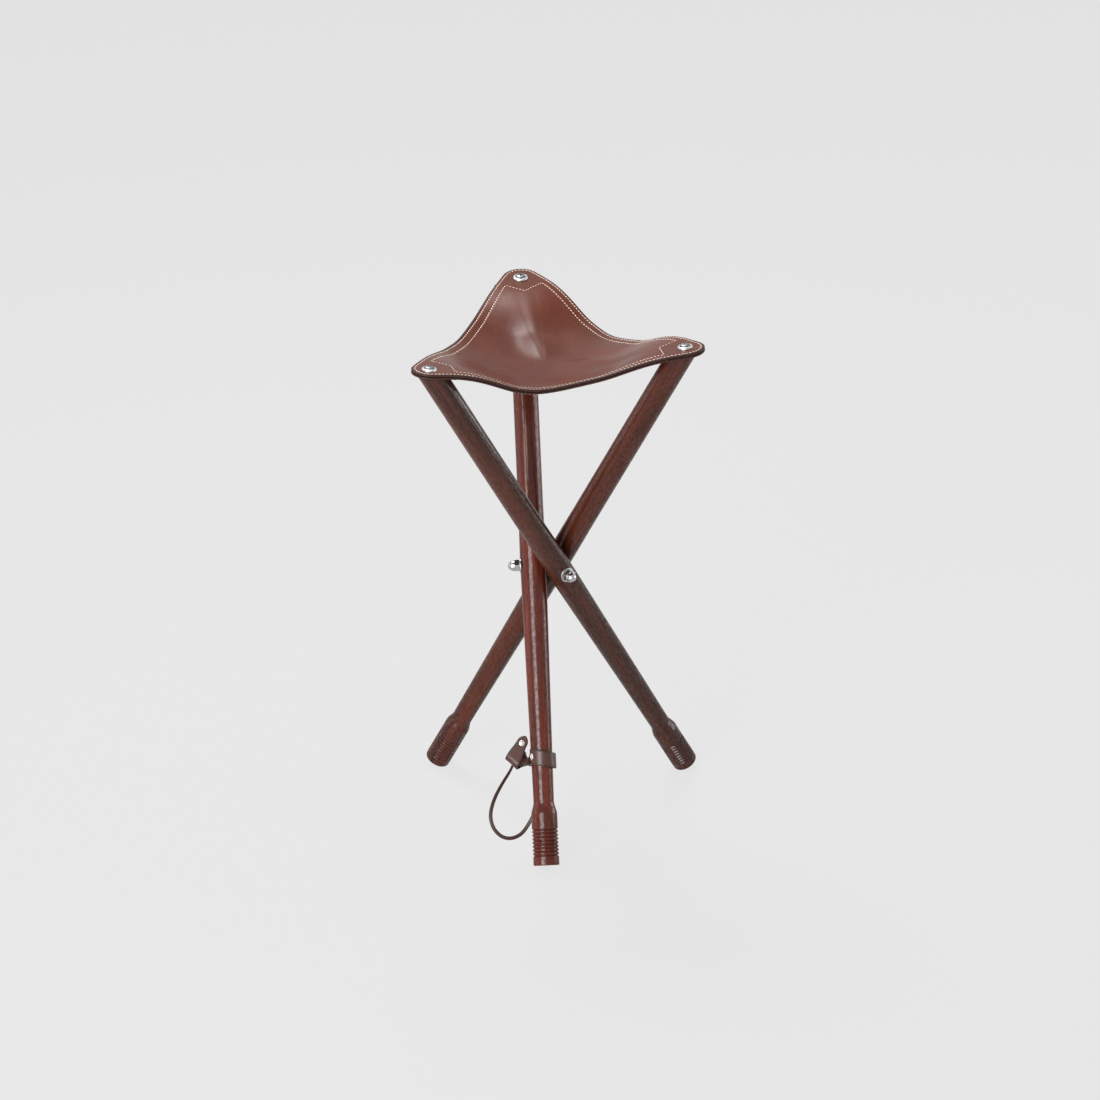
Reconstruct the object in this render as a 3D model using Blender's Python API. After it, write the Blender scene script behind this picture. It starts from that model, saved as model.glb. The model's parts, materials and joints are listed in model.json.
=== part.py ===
"""Folding tripod stool: three turned legs crossing on a three-way bolt, under a slung leather seat.

Metres, +Z up. The stool stands on the edges of its three feet, and the frame's origin is the middle of
its outline on the floor. Leg b stands in front, leg a goes back to the right, and leg c back to the left.
"""
import math

import bmesh
import bpy
import numpy as np
from mathutils import Matrix, Vector

# Fit between neighbouring pieces
GAP = 0.0003

# Stance: how the legs cross and lean
LEG_TILT = math.radians(29.6)
ARM_OFFSET = 0.0204
ARM_ANGLES = {"a": math.radians(300), "b": math.radians(180), "c": math.radians(60)}

# Turned leg, measured along its axis from the pivot
FOOT_REACH = 0.350
SEAT_REACH = 0.3375
PIVOT_RADIUS = 0.0152
UPPER_RADIUS = 0.0147
SWELL_LENGTH = 0.070
NECK_RADIUS = 0.0119
FOOT_RADIUS = 0.0151
FOOT_EDGE = 0.0014
END_BAND = 0.0108
GROOVE_COUNT = 8
GROOVE_PITCH = 0.00425
GROOVE_WIDTH = 0.0017
GROOVE_DEPTH = 0.0009
COLLAR_LENGTH = 0.0165
SHOULDER_LENGTH = 0.0155
LEG_SEGMENTS = 20

# Three-way bolt with its washers and cap nuts
ARM_RADIUS = 0.0040
BOSS_RADIUS = 0.0050
CORE_RADIUS = 0.0046
CORE_HEIGHT = 0.0108
SPOT_FACE = 0.0139
SPOT_CLEARANCE = 0.0006
WASHER_RADIUS = 0.0086
WASHER_THICKNESS = 0.0016
NUT_ACROSS_FLATS = 0.0130
NUT_HEX_HEIGHT = 0.0062
NUT_DOME_RADIUS = 0.0060
NUT_HEIGHT = 0.0136
NUT_THREAD_DEPTH = 0.0090
NUT_CHAMFER = 0.0007
THREAD_END_ROOM = 0.0010

# Seat screws and their cup washers
SCREW_SHANK_RADIUS = 0.0022
SCREW_LENGTH = 0.030
SCREW_TAPER = 0.006
SCREW_HEAD_RADIUS = 0.0058
SCREW_DOME = 0.0019
SCREW_SINK = 0.0019
RECESS_SPAN = 0.0058
RECESS_WIDTH = 0.0012
RECESS_DEPTH = 0.0014
CUP_RADIUS = 0.0089
CUP_HEIGHT = 0.0023
CUP_LIP_RADIUS = 0.0066

# Seat leather: its outline in plan, how it hangs, and the thickness of its layers
LEATHER = 0.0030
STRIP_LEATHER = 0.0022
PATCH_LEATHER = 0.0025
LOBE_RADIUS = 0.0220
LOBE_SHIFT = {"a": (0.0020, 0.0050), "b": (0.0007, 0.0028), "c": (0.0000, 0.0000)}
CORNER_SLOPE = math.radians(6)
CORNER_FLAT = 0.0215
CORNER_BEND = 0.1050
CENTRE_DROP = 0.0405
ARM_CURVE = 1.25
BOWL_CURVE = 1.9
STRIP_WIDTH = 0.0140
PATCH_TIP = 0.0330
PATCH_SHARE = 0.09
ARC_SHARE = 0.30
ARC_STEPS = 6
PATCH_STEPS = 2
STRIP_STEPS = 9
LAP_STEPS = ARC_STEPS + 2 * PATCH_STEPS + STRIP_STEPS
INNER_RINGS = (0.24, 0.46, 0.66, 0.84)
BAND_ROWS = 5

# Corners run anticlockwise from above, and each edge runs from its corner to the next one
CORNERS = ("c", "b", "a")
EDGES = ("right", "left", "front")
EDGE_SAG = {"right": 0.0373, "left": 0.0215, "front": 0.0271}
EDGE_DEEPEST = {"right": 0.53, "left": 0.52, "front": 0.41}
EDGE_ROUNDING = 0.14

# Closing strap round the front leg
STRAP_PLACE = -0.226
STRAP_WIDTH = 0.0180
STRAP_LEATHER = 0.0018
STRAP_RADIUS = 0.0148
STRAP_STAND_OFF = 0.0009
STRAP_SLANT = 0.20
STRAP_START = math.radians(18)
FOLD_CENTRE = (0.0310, -0.0040, 0.0000)
FOLD_RADIUS = 0.0060
FOLD_AXIS = math.radians(-45)
TONGUE_LENGTH = 0.0295
TONGUE_WIDTH = 0.0130
TONGUE_POINT = 0.0085
TONGUE_TIP = 0.0008
TONGUE_STATIONS = 9
TAPER_STATIONS = 4
TONGUE_ANGLE = math.radians(59)
SNAP_PLACE = 0.0200
SNAP_CAP_RADIUS = 0.0036
SNAP_CAP_HEIGHT = 0.0014
SNAP_POST_RADIUS = 0.0014
SNAP_SOCKET_RADIUS = 0.0042
SNAP_SOCKET_BORE = 0.0022
SNAP_SOCKET_HEIGHT = 0.0016
STUD_ANGLE = math.radians(34)
STUD_RADIUS = 0.0040
STUD_HEIGHT = 0.0018
STUD_NECK_RADIUS = 0.0017
STUD_KNOB_RADIUS = 0.0020

# Thong: a narrow strip of leather that hangs in a loop from the strap, in the front leg's own frame
THONG_RADIUS = 0.0016
THONG_POINTS = (
    (0.0318, -0.0131, -0.0010),
    (0.0345, -0.0131, -0.0075),
    (0.0385, -0.0128, -0.0145),
    (0.0480, -0.0105, -0.0285),
    (0.0560, -0.0090, -0.0425),
    (0.0610, -0.0088, -0.0560),
    (0.0620, -0.0098, -0.0675),
    (0.0585, -0.0120, -0.0790),
    (0.0500, -0.0150, -0.0880),
    (0.0390, -0.0175, -0.0905),
    (0.0275, -0.0195, -0.0860),
    (0.0185, -0.0205, -0.0755),
    (0.0110, -0.0205, -0.0620),
    (0.0060, -0.0200, -0.0450),
    (0.0020, -0.0190, -0.0280),
    (-0.0005, -0.0180, -0.0120),
    (-0.0009, -0.0178, -0.0020),
)
THONG_STEPS = 44


def clear_scene():
    for old in list(bpy.data.objects):
        bpy.data.objects.remove(old)


def material(name, colour, roughness, metallic=0.0):
    made = bpy.data.materials.new(name)
    made.use_nodes = True
    shader = made.node_tree.nodes["Principled BSDF"]
    shader.inputs["Base Color"].default_value = (*colour, 1.0)
    shader.inputs["Roughness"].default_value = roughness
    shader.inputs["Metallic"].default_value = metallic
    return made


def add_object(name, mesh, finish, parent, matrix=Matrix.Identity(4)):
    """Link an object with its own material, placed by matrix under its parent empty."""
    made = bpy.data.objects.new(name, mesh)
    bpy.context.scene.collection.objects.link(made)
    if not mesh.materials:
        mesh.materials.append(finish)
    made.parent = parent
    made.matrix_local = matrix
    return made


def add_empty(name, parent, matrix):
    made = bpy.data.objects.new(name, None)
    bpy.context.scene.collection.objects.link(made)
    made.parent = parent
    made.matrix_local = matrix
    return made


def finish_mesh(bm, name):
    bmesh.ops.remove_doubles(bm, verts=bm.verts, dist=0.00001)
    bmesh.ops.recalc_face_normals(bm, faces=bm.faces)
    mesh = bpy.data.meshes.new(name)
    bm.to_mesh(mesh)
    bm.free()
    mesh.shade_smooth()
    mesh.set_sharp_from_angle(angle=math.radians(35))
    return mesh


def turned(name, profile, segments, axis="Z"):
    """Spin a profile of (radius, height) points round an axis. A ring closes its own profile."""
    bm = bmesh.new()
    if axis == "Z":
        points = [Vector((r, 0.0, h)) for r, h in profile]
        spin_axis = (0, 0, 1)
    else:
        points = [Vector((h, 0.0, r)) for r, h in profile]
        spin_axis = (1, 0, 0)
    verts = [bm.verts.new(p) for p in points]
    edges = [bm.edges.new(pair) for pair in zip(verts, verts[1:])]
    if profile[0][0] > 0.0:
        edges.append(bm.edges.new((verts[-1], verts[0])))
    bmesh.ops.spin(bm, geom=verts + edges, cent=(0, 0, 0), axis=spin_axis, angle=math.tau,
                   steps=segments, use_merge=True)
    return finish_mesh(bm, name)


def prism(name, corners, start, height):
    """Extrude a flat outline of (y, z) points along X."""
    bm = bmesh.new()
    face = bm.faces.new([bm.verts.new((start, y, z)) for y, z in corners])
    grown = bmesh.ops.extrude_face_region(bm, geom=[face])
    moved = [v for v in grown["geom"] if isinstance(v, bmesh.types.BMVert)]
    bmesh.ops.translate(bm, vec=(height, 0, 0), verts=moved)
    return finish_mesh(bm, name)


def block(name, size, centre):
    bm = bmesh.new()
    bmesh.ops.create_cube(bm, size=1.0, matrix=Matrix.Translation(centre) @ Matrix.Diagonal((*size, 1.0)))
    return finish_mesh(bm, name)


def grid_shell(name, top, bottom, loop=False, poles=None):
    """Close two grids of points, rows by columns, into one solid of triangles.

    Walls run along the open borders. With poles, the first rows close on them instead.
    """
    rows, columns = top.shape[:2]
    bm = bmesh.new()
    upper = [[bm.verts.new(p) for p in row] for row in top]
    lower = [[bm.verts.new(p) for p in row] for row in bottom]
    pairs = [(j, (j + 1) % columns) for j in range(columns if loop else columns - 1)]

    def quad(a, b, c, d):
        bm.faces.new((a, b, c))
        bm.faces.new((a, c, d))

    for j, k in pairs:
        for i in range(rows - 1):
            for sheet in (upper, lower):
                quad(sheet[i][j], sheet[i][k], sheet[i + 1][k], sheet[i + 1][j])
        quad(upper[-1][j], upper[-1][k], lower[-1][k], lower[-1][j])
        if not poles:
            quad(upper[0][j], lower[0][j], lower[0][k], upper[0][k])
    if poles:
        for sheet, pole in zip((upper, lower), poles):
            point = bm.verts.new(pole)
            for j, k in pairs:
                bm.faces.new((point, sheet[0][j], sheet[0][k]))
    if not loop:
        for i in range(rows - 1):
            for j in (0, -1):
                quad(upper[i][j], upper[i + 1][j], lower[i + 1][j], lower[i][j])
    return finish_mesh(bm, name)


def cut(mesh, steps, name):
    """Apply exact Booleans to a mesh, one for each (operation, cutter mesh, matrix), and keep the result."""
    body = bpy.data.objects.new(name, mesh)
    bpy.context.scene.collection.objects.link(body)
    tools = []
    for operation, tool_mesh, matrix in steps:
        tool = bpy.data.objects.new("cutter", tool_mesh)
        bpy.context.scene.collection.objects.link(tool)
        tool.matrix_world = matrix
        tool.hide_render = True
        tool.display_type = "WIRE"
        tools.append(tool)
        change = body.modifiers.new(operation.lower(), "BOOLEAN")
        change.operation = operation
        change.solver = "EXACT"
        change.object = tool
    bpy.context.view_layer.update()
    shape = body.evaluated_get(bpy.context.evaluated_depsgraph_get())
    result = bpy.data.meshes.new_from_object(shape)
    result.name = name
    for old in tools + [body]:
        bpy.data.objects.remove(old)
    result.shade_smooth()
    result.set_sharp_from_angle(angle=math.radians(35))
    return result


def arm_matrix(key):
    """Frame of one leg at its pivot: X out along the bolt's arm, Z up the leg."""
    turn = Matrix.Rotation(ARM_ANGLES[key], 4, "Z")
    return turn @ Matrix.Translation((ARM_OFFSET, 0, 0)) @ Matrix.Rotation(LEG_TILT, 4, "X")


def seat_point(key):
    """Where a leg's axis meets the upper face of the seat, in the hub's frame."""
    return arm_matrix(key) @ Vector((0, 0, SEAT_REACH))


def corner_matrix(key):
    """Frame of a seat corner: origin on the leather, Z square to it, X towards the seat's rim."""
    place = seat_point(key)
    outward = Vector((place.x, place.y, 0.0)).normalized()
    side = Vector((0, 0, 1)).cross(outward)
    lean = Matrix.Rotation(-CORNER_SLOPE, 3, side)
    up = lean @ Vector((0, 0, 1))
    out = lean @ outward
    columns = Matrix((out, up.cross(out), up)).transposed().to_4x4()
    return Matrix.Translation(place) @ columns


CORNER_XY = np.array([tuple(seat_point(key))[:2] for key in CORNERS])
LOBE_XY = CORNER_XY + np.array([LOBE_SHIFT[key] for key in CORNERS])
CORNER_Z = seat_point("b").z
SEAT_CENTRE_Z = CORNER_Z - CENTRE_DROP


def smoothstep(x):
    x = np.clip(x, 0.0, 1.0)
    return x * x * (3.0 - 2.0 * x)


def rim(s):
    """Rim of the seat at s, which counts corners: an arc round each corner, then the edge to the next.

    Each edge is straight in plan and hangs like a rounded V. Returns plan points, the rim's height above
    the seat's centre, and how far along its edge each is.
    """
    lap = np.floor(s).astype(int) % 3
    share = s - np.floor(s)
    on_arc = share < ARC_SHARE
    along = np.where(on_arc, 0.0, (share - ARC_SHARE) / (1.0 - ARC_SHARE))
    turn = np.where(on_arc, share / ARC_SHARE, 1.0)
    start = LOBE_XY[lap]
    chord = LOBE_XY[(lap + 1) % 3] - start
    before = start - LOBE_XY[(lap - 1) % 3]
    finish_angle = np.arctan2(chord[..., 1], chord[..., 0]) - math.pi / 2
    start_angle = np.arctan2(before[..., 1], before[..., 0]) - math.pi / 2
    angle = start_angle + turn * ((finish_angle - start_angle) % math.tau)
    out = np.stack((np.cos(angle), np.sin(angle)), -1)
    sag = np.array([EDGE_SAG[name] for name in EDGES])[lap]
    deepest = np.array([EDGE_DEEPEST[name] for name in EDGES])[lap]
    slide = np.where(along < deepest, along / deepest, (1.0 - along) / (1.0 - deepest))
    rise = np.hypot(1.0 - slide, EDGE_ROUNDING) - EDGE_ROUNDING
    dip = 1.0 - rise / (math.hypot(1.0, EDGE_ROUNDING) - EDGE_ROUNDING)
    plan = start + chord * along[..., None] + out * LOBE_RADIUS
    return plan, CENTRE_DROP - sag * dip, along


def seat_surface(s, u):
    """Upper face of the seat at rim position s and share u of the way out from the centre.

    The height climbs from the centre to the rim by a power of u, and eases into a flat, slightly
    tilted seat round each screw.
    """
    plan, climb, along = rim(s)
    curve = ARM_CURVE + (BOWL_CURVE - ARM_CURVE) * np.sin(math.pi * along) ** 2
    plan = plan * u[..., None]
    height = SEAT_CENTRE_Z + climb * u ** curve
    for corner in CORNER_XY:
        offset = plan - corner
        distance = np.hypot(offset[..., 0], offset[..., 1])
        outward = corner / np.hypot(*corner)
        flat = CORNER_Z + math.tan(CORNER_SLOPE) * (offset @ outward)
        share = 1.0 - smoothstep((distance - CORNER_FLAT) / (CORNER_BEND - CORNER_FLAT))
        height = height + share * (flat - height)
    return np.concatenate((plan, height[..., None]), -1)


def seat_layer(s, u, depth):
    """Seat surface sunk by depth along its own normal, found by small steps along s and u."""
    step = 0.002
    inward = np.maximum(u - step, 0.001)
    across = seat_surface(s, inward + step) - seat_surface(s, inward)
    around = seat_surface(s + step, u) - seat_surface(s - step, u)
    normal = np.cross(across, around)
    normal /= np.linalg.norm(normal, axis=-1, keepdims=True)
    return seat_surface(s, u) - normal * depth


def edge_position(lap, along):
    return lap + ARC_SHARE + along * (1.0 - ARC_SHARE)


def rim_positions():
    """Columns of the seat's grid: even steps round each arc, over each patch's ends and along each edge."""
    arc = np.arange(ARC_STEPS) / ARC_STEPS * ARC_SHARE
    over_patch = PATCH_SHARE * np.arange(PATCH_STEPS) / PATCH_STEPS
    between = PATCH_SHARE + (1.0 - 2.0 * PATCH_SHARE) * np.arange(STRIP_STEPS) / STRIP_STEPS
    along = np.concatenate((over_patch, between, 1.0 - PATCH_SHARE + over_patch))
    return np.concatenate([np.concatenate((lap + arc, edge_position(lap, along))) for lap in range(3)])


def patch_columns(lap):
    """Grid columns over one corner patch, wrapping round the rim."""
    count = 3 * LAP_STEPS
    first = lap * LAP_STEPS - PATCH_STEPS
    return np.arange(first, lap * LAP_STEPS + ARC_STEPS + PATCH_STEPS + 1) % count


def strip_columns(lap):
    first = lap * LAP_STEPS + ARC_STEPS + PATCH_STEPS
    return np.arange(first, first + STRIP_STEPS + 1)


def border_shares(s):
    """Share u of the seams' inner border: beside an edge at the strip's width, and at a corner a chevron.

    The chevron is two straight lines in plan that meet at a tip towards the seat's centre.
    """
    plan, _, _ = rim(s)
    share = 1.0 - STRIP_WIDTH / np.hypot(plan[:, 0], plan[:, 1])
    for lap, corner in enumerate(CORNER_XY):
        columns = patch_columns(lap)
        tip = corner * (1.0 - PATCH_TIP / np.hypot(*corner))
        middle = len(columns) // 2
        for side, end in ((columns[1:middle], columns[0]), (columns[middle:-1], columns[-1])):
            way = plan[end] * share[end] - tip
            ray = plan[side]
            share[side] = (tip[0] * way[1] - tip[1] * way[0]) / (ray[:, 0] * way[1] - ray[:, 1] * way[0])
    return share


def seat_grid(depth):
    """Points of the seat at one depth: rows from near the centre to the seams' border, then to the rim."""
    s = rim_positions()
    border = border_shares(s)
    inner = border[None, :] * np.array(INNER_RINGS)[:, None]
    band = border + (1.0 - border) * np.linspace(0.0, 1.0, BAND_ROWS + 1)[:, None]
    u = np.concatenate((inner, band))
    places = np.broadcast_to(s, u.shape)
    return seat_layer(places, u, depth)


def screw_hole(lap):
    """Cutter through the leather at a corner, with room for the screw's shank."""
    radius = SCREW_SHANK_RADIUS + GAP
    height = 4.0 * LEATHER
    mesh = turned("hole", ((0, -height), (radius, -height), (radius, height), (0, height)), 12)
    return "DIFFERENCE", mesh, corner_matrix(CORNERS[lap])


def seat_leather_mesh():
    """Top sheet: the whole grid closed over the centre, sunk by its thickness, with three screw holes."""
    top = seat_grid(0.0)
    bottom = seat_grid(LEATHER)
    centre = Vector((0, 0, SEAT_CENTRE_Z))
    sheet = grid_shell("sheet", top, bottom, loop=True, poles=(centre, centre - Vector((0, 0, LEATHER))))
    return cut(sheet, [screw_hole(lap) for lap in range(3)], "seat_leather")


def layer_grids(columns, thickness):
    """Layer sewn under the sheet between the seams' border and the rim, on the sheet's own grid."""
    first = len(INNER_RINGS)
    top = seat_grid(LEATHER + GAP)[first:, columns]
    bottom = seat_grid(LEATHER + GAP + thickness)[first:, columns]
    return top, bottom


def patch_mesh(lap):
    top, bottom = layer_grids(patch_columns(lap), PATCH_LEATHER)
    return cut(grid_shell("patch", top, bottom), [screw_hole(lap)], "corner_patch")


def strip_mesh(lap):
    """Reinforcing strip sewn under one edge, from one corner patch to the next."""
    top, bottom = layer_grids(strip_columns(lap), STRIP_LEATHER)
    for layer in (top, bottom):
        for end, beside in ((0, 1), (-1, -2)):
            way = layer[:, beside] - layer[:, end]
            layer[:, end] += way * (GAP / np.linalg.norm(way, axis=1, keepdims=True))
    return grid_shell("strip", top, bottom)


def leg_profile():
    """Radius and height of the turned leg, foot first: band, grooves, collar, shoulder and taper."""
    points = [(0.0, -FOOT_REACH), (FOOT_RADIUS - FOOT_EDGE, -FOOT_REACH)]
    corner = FOOT_EDGE * (1.0 - math.sqrt(0.5))
    points.append((FOOT_RADIUS - corner, -FOOT_REACH + corner))
    points.append((FOOT_RADIUS, -FOOT_REACH + FOOT_EDGE))
    height = -FOOT_REACH + END_BAND
    for _ in range(GROOVE_COUNT):
        points.append((FOOT_RADIUS, height))
        points.append((FOOT_RADIUS - GROOVE_DEPTH, height + GROOVE_WIDTH / 2))
        points.append((FOOT_RADIUS, height + GROOVE_WIDTH))
        height += GROOVE_PITCH
    height += COLLAR_LENGTH - GROOVE_PITCH + GROOVE_WIDTH
    points.append((FOOT_RADIUS, height))
    for step in range(1, 6):
        share = step / 5
        ease = share * share * (3.0 - 2.0 * share)
        radius = FOOT_RADIUS + (NECK_RADIUS - FOOT_RADIUS) * ease
        points.append((radius, height + SHOULDER_LENGTH * share))
    points.append((NECK_RADIUS + (PIVOT_RADIUS - NECK_RADIUS) / 2, (height + SHOULDER_LENGTH) / 2))
    points.append((PIVOT_RADIUS, 0.0))
    points.append((UPPER_RADIUS, SWELL_LENGTH))
    points.append((UPPER_RADIUS, SEAT_REACH + PIVOT_RADIUS))
    points.append((0.0, SEAT_REACH + PIVOT_RADIUS))
    return points


def leg_mesh(key):
    """Turned leg with its top cut to carry the seat, its bolt hole, spot face and screw hole."""
    to_leg = arm_matrix(key).inverted() @ corner_matrix(key)
    seat_depth = LEATHER + PATCH_LEATHER + 2.0 * GAP
    size = 6.0 * PIVOT_RADIUS
    top = block("top", (size, size, size), (0, 0, size / 2 - seat_depth))
    bore = ARM_RADIUS + GAP
    reach = 2.0 * PIVOT_RADIUS
    hole = turned("hole", ((0, -reach), (bore, -reach), (bore, reach), (0, reach)), 16, "X")
    spot = WASHER_RADIUS + SPOT_CLEARANCE
    face = turned("spot", ((0, SPOT_FACE), (spot, SPOT_FACE), (spot, reach), (0, reach)), 24, "X")
    pilot = SCREW_SHANK_RADIUS + GAP
    depth = SCREW_LENGTH + GAP
    pin = turned("pilot", ((0, -depth), (pilot, -depth), (pilot, depth), (0, depth)), 12)
    steps = (("DIFFERENCE", top, to_leg), ("DIFFERENCE", hole, Matrix.Identity(4)),
             ("DIFFERENCE", face, Matrix.Identity(4)), ("DIFFERENCE", pin, to_leg))
    return cut(turned("blank", leg_profile(), LEG_SEGMENTS), steps, "leg")


def arm_mesh():
    """One arm of the three-way bolt, along X from inside the core: boss, then shank."""
    root = CORE_RADIUS / 3
    boss_end = ARM_OFFSET - PIVOT_RADIUS - GAP
    end = ARM_OFFSET + SPOT_FACE + WASHER_THICKNESS + 2.0 * GAP + NUT_THREAD_DEPTH - THREAD_END_ROOM
    chamfer = ARM_RADIUS / 6
    profile = ((0, root), (BOSS_RADIUS, root), (BOSS_RADIUS, boss_end), (ARM_RADIUS, boss_end),
               (ARM_RADIUS, end - chamfer), (ARM_RADIUS - chamfer, end), (0, end))
    return turned("arm", profile, 18, "X")


def three_way_bolt_mesh():
    half = CORE_HEIGHT / 2
    core = turned("core", ((0, -half), (CORE_RADIUS, -half), (CORE_RADIUS, half), (0, half)), 16)
    arms = [Matrix.Rotation(angle, 4, "Z") for angle in ARM_ANGLES.values()]
    return cut(core, [("UNION", arm_mesh(), arm) for arm in arms], "three_way_bolt")


def washer_mesh():
    inner = ARM_RADIUS + GAP
    edge = WASHER_THICKNESS / 5
    start = SPOT_FACE + GAP
    end = start + WASHER_THICKNESS
    profile = ((inner, start), (WASHER_RADIUS - edge, start), (WASHER_RADIUS, start + edge),
               (WASHER_RADIUS, end - edge), (WASHER_RADIUS - edge, end), (inner, end))
    return turned("pivot_washer", profile, 28, "X")


def cap_nut_mesh():
    """Domed nut: a hexagon trimmed by a turned envelope that carries the dome, with a blind hole."""
    start = SPOT_FACE + WASHER_THICKNESS + 2.0 * GAP
    corner = NUT_ACROSS_FLATS / math.sqrt(3)
    outline = [(corner * math.cos(k * math.pi / 3), corner * math.sin(k * math.pi / 3)) for k in range(6)]
    hexagon = prism("hexagon", outline, start, NUT_HEIGHT + GAP)
    shoulder = start + NUT_HEX_HEIGHT
    dome_base = shoulder + NUT_CHAMFER
    tip = start + NUT_HEIGHT
    envelope = [(0, start), (corner - NUT_CHAMFER, start), (corner, start + NUT_CHAMFER),
                (corner, shoulder - NUT_CHAMFER), (corner - NUT_CHAMFER, shoulder),
                (NUT_DOME_RADIUS, dome_base)]
    for step in range(1, 6):
        angle = step / 5 * math.pi / 2
        rise = (tip - dome_base) * math.sin(angle)
        envelope.append((NUT_DOME_RADIUS * math.cos(angle) if step < 5 else 0.0, dome_base + rise))
    radius = ARM_RADIUS + GAP
    end = start + NUT_THREAD_DEPTH
    hole = turned("hole", ((0, 0), (radius, 0), (radius, end), (0, end)), 16, "X")
    keep = turned("envelope", envelope, 24, "X")
    flat = Matrix.Identity(4)
    return cut(hexagon, (("INTERSECT", keep, flat), ("DIFFERENCE", hole, flat)), "cap_nut")


def cup_washer_mesh():
    """Finishing washer: a rolled rim outside and a cone inside for the screw's head."""
    hole = SCREW_SHANK_RADIUS + GAP
    base = GAP
    profile = [(hole, base), (CUP_RADIUS, base)]
    for step in range(1, 6):
        angle = step / 5 * math.pi / 2
        radius = CUP_LIP_RADIUS + (CUP_RADIUS - CUP_LIP_RADIUS) * math.cos(angle)
        profile.append((radius, base + CUP_HEIGHT * (0.15 + 0.85 * math.sin(angle))))
    profile.append((SCREW_HEAD_RADIUS + 2.0 * GAP, base + CUP_HEIGHT))
    profile.append((hole, base + CUP_HEIGHT - SCREW_SINK))
    return turned("cup_washer", profile, 24)


def seat_screw_mesh():
    """Raised countersunk wood screw with a cross recess, its head in the cup washer."""
    head_edge = CUP_HEIGHT + 2.0 * GAP
    neck = head_edge - SCREW_SINK
    tip = -SCREW_LENGTH
    profile = [(0, tip), (SCREW_SHANK_RADIUS, tip + SCREW_TAPER), (SCREW_SHANK_RADIUS, neck),
               (SCREW_HEAD_RADIUS, head_edge)]
    for step in range(1, 5):
        angle = step / 4 * math.pi / 2
        radius = SCREW_HEAD_RADIUS * math.cos(angle) if step < 4 else 0.0
        profile.append((radius, head_edge + SCREW_DOME * math.sin(angle)))
    top = head_edge + SCREW_DOME
    floor = top - RECESS_DEPTH
    centre = (0, 0, floor + RECESS_DEPTH)
    long_slot = block("slot", (RECESS_SPAN, RECESS_WIDTH, 2.0 * RECESS_DEPTH), centre)
    cross_slot = block("slot", (RECESS_WIDTH, RECESS_SPAN, 2.0 * RECESS_DEPTH), centre)
    flat = Matrix.Identity(4)
    steps = (("DIFFERENCE", long_slot, flat), ("DIFFERENCE", cross_slot, flat))
    return cut(turned("screw", profile, 20), steps, "seat_screw")


def strap_frame():
    """Axis of the strap's fold, the way its roll bulges, and how far it climbs for each turn."""
    along = Vector((-math.cos(FOLD_AXIS), 0, math.sin(FOLD_AXIS)))
    bulge = Vector((-along.z, 0, along.x))
    tongue = Vector((-math.cos(TONGUE_ANGLE), 0, math.sin(TONGUE_ANGLE)))
    climb = -tongue.dot(along) / -tongue.dot(bulge)
    return along, bulge, tongue, climb


def strap_path():
    """Centre line of the strap with its width direction and width, in the front leg's frame.

    It starts beside the front of the leg, goes once round it, leaves to the side, rolls over a slanting
    axis and ends in a tongue that points up beside the leg.
    """
    along, bulge, tongue, climb = strap_frame()
    up = Vector((0, 0, 1))
    out = Vector((1, 0, 0))
    front = Vector((0, 1, 0))
    stations = []
    for step in range(25):
        angle = STRAP_START + step / 24 * (1.5 * math.pi - STRAP_START)
        x = STRAP_RADIUS * math.cos(angle) - STRAP_STAND_OFF
        y = STRAP_RADIUS * math.sin(angle)
        stations.append((Vector((x, y, STRAP_SLANT * x)), up, STRAP_WIDTH))
    centre = Vector(FOLD_CENTRE)
    half_turn = math.pi / 2
    back = centre - front * FOLD_RADIUS + along * (climb * FOLD_RADIUS * half_turn)
    inward = (bulge - along * climb).normalized()
    start = stations[-1][0]
    reach = (back - start).length
    for step in range(1, 7):
        t = step / 7
        h1 = 2 * t ** 3 - 3 * t ** 2 + 1
        h2 = t ** 3 - 2 * t ** 2 + t
        h3 = 3 * t ** 2 - 2 * t ** 3
        h4 = t ** 3 - t ** 2
        place = start * h1 + out * (reach * h2) + back * h3 + inward * (reach * h4)
        way = inward.cross(-front)
        width_way = (up * (1.0 - smoothstep(t)) + way * float(smoothstep(t))).normalized()
        stations.append((place, width_way, STRAP_WIDTH))
    for step in range(11):
        angle = -half_turn + step / 10 * math.pi
        place = centre + bulge * (FOLD_RADIUS * math.cos(angle)) + front * (FOLD_RADIUS * math.sin(angle))
        place = place - along * (climb * FOLD_RADIUS * angle)
        normal = bulge * math.cos(angle) + front * math.sin(angle)
        tangent = (front * math.cos(angle) - bulge * math.sin(angle) - along * climb).normalized()
        stations.append((place, tangent.cross(normal), STRAP_WIDTH))
    crossing = stations[-1][0]
    across = tongue.cross(front)
    straight = TONGUE_LENGTH - TONGUE_POINT
    for step in range(1, TONGUE_STATIONS + 1):
        share = min(step / TAPER_STATIONS, 1.0)
        pointed = max(step - TAPER_STATIONS, 0) / (TONGUE_STATIONS - TAPER_STATIONS)
        width = STRAP_WIDTH + (TONGUE_WIDTH - STRAP_WIDTH) * float(smoothstep(share))
        width = max(width * (1.0 - pointed ** 2) ** 0.75, TONGUE_TIP)
        place = crossing + tongue * (straight * share + TONGUE_POINT * pointed)
        stations.append((place, across, width))
    return stations


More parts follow.
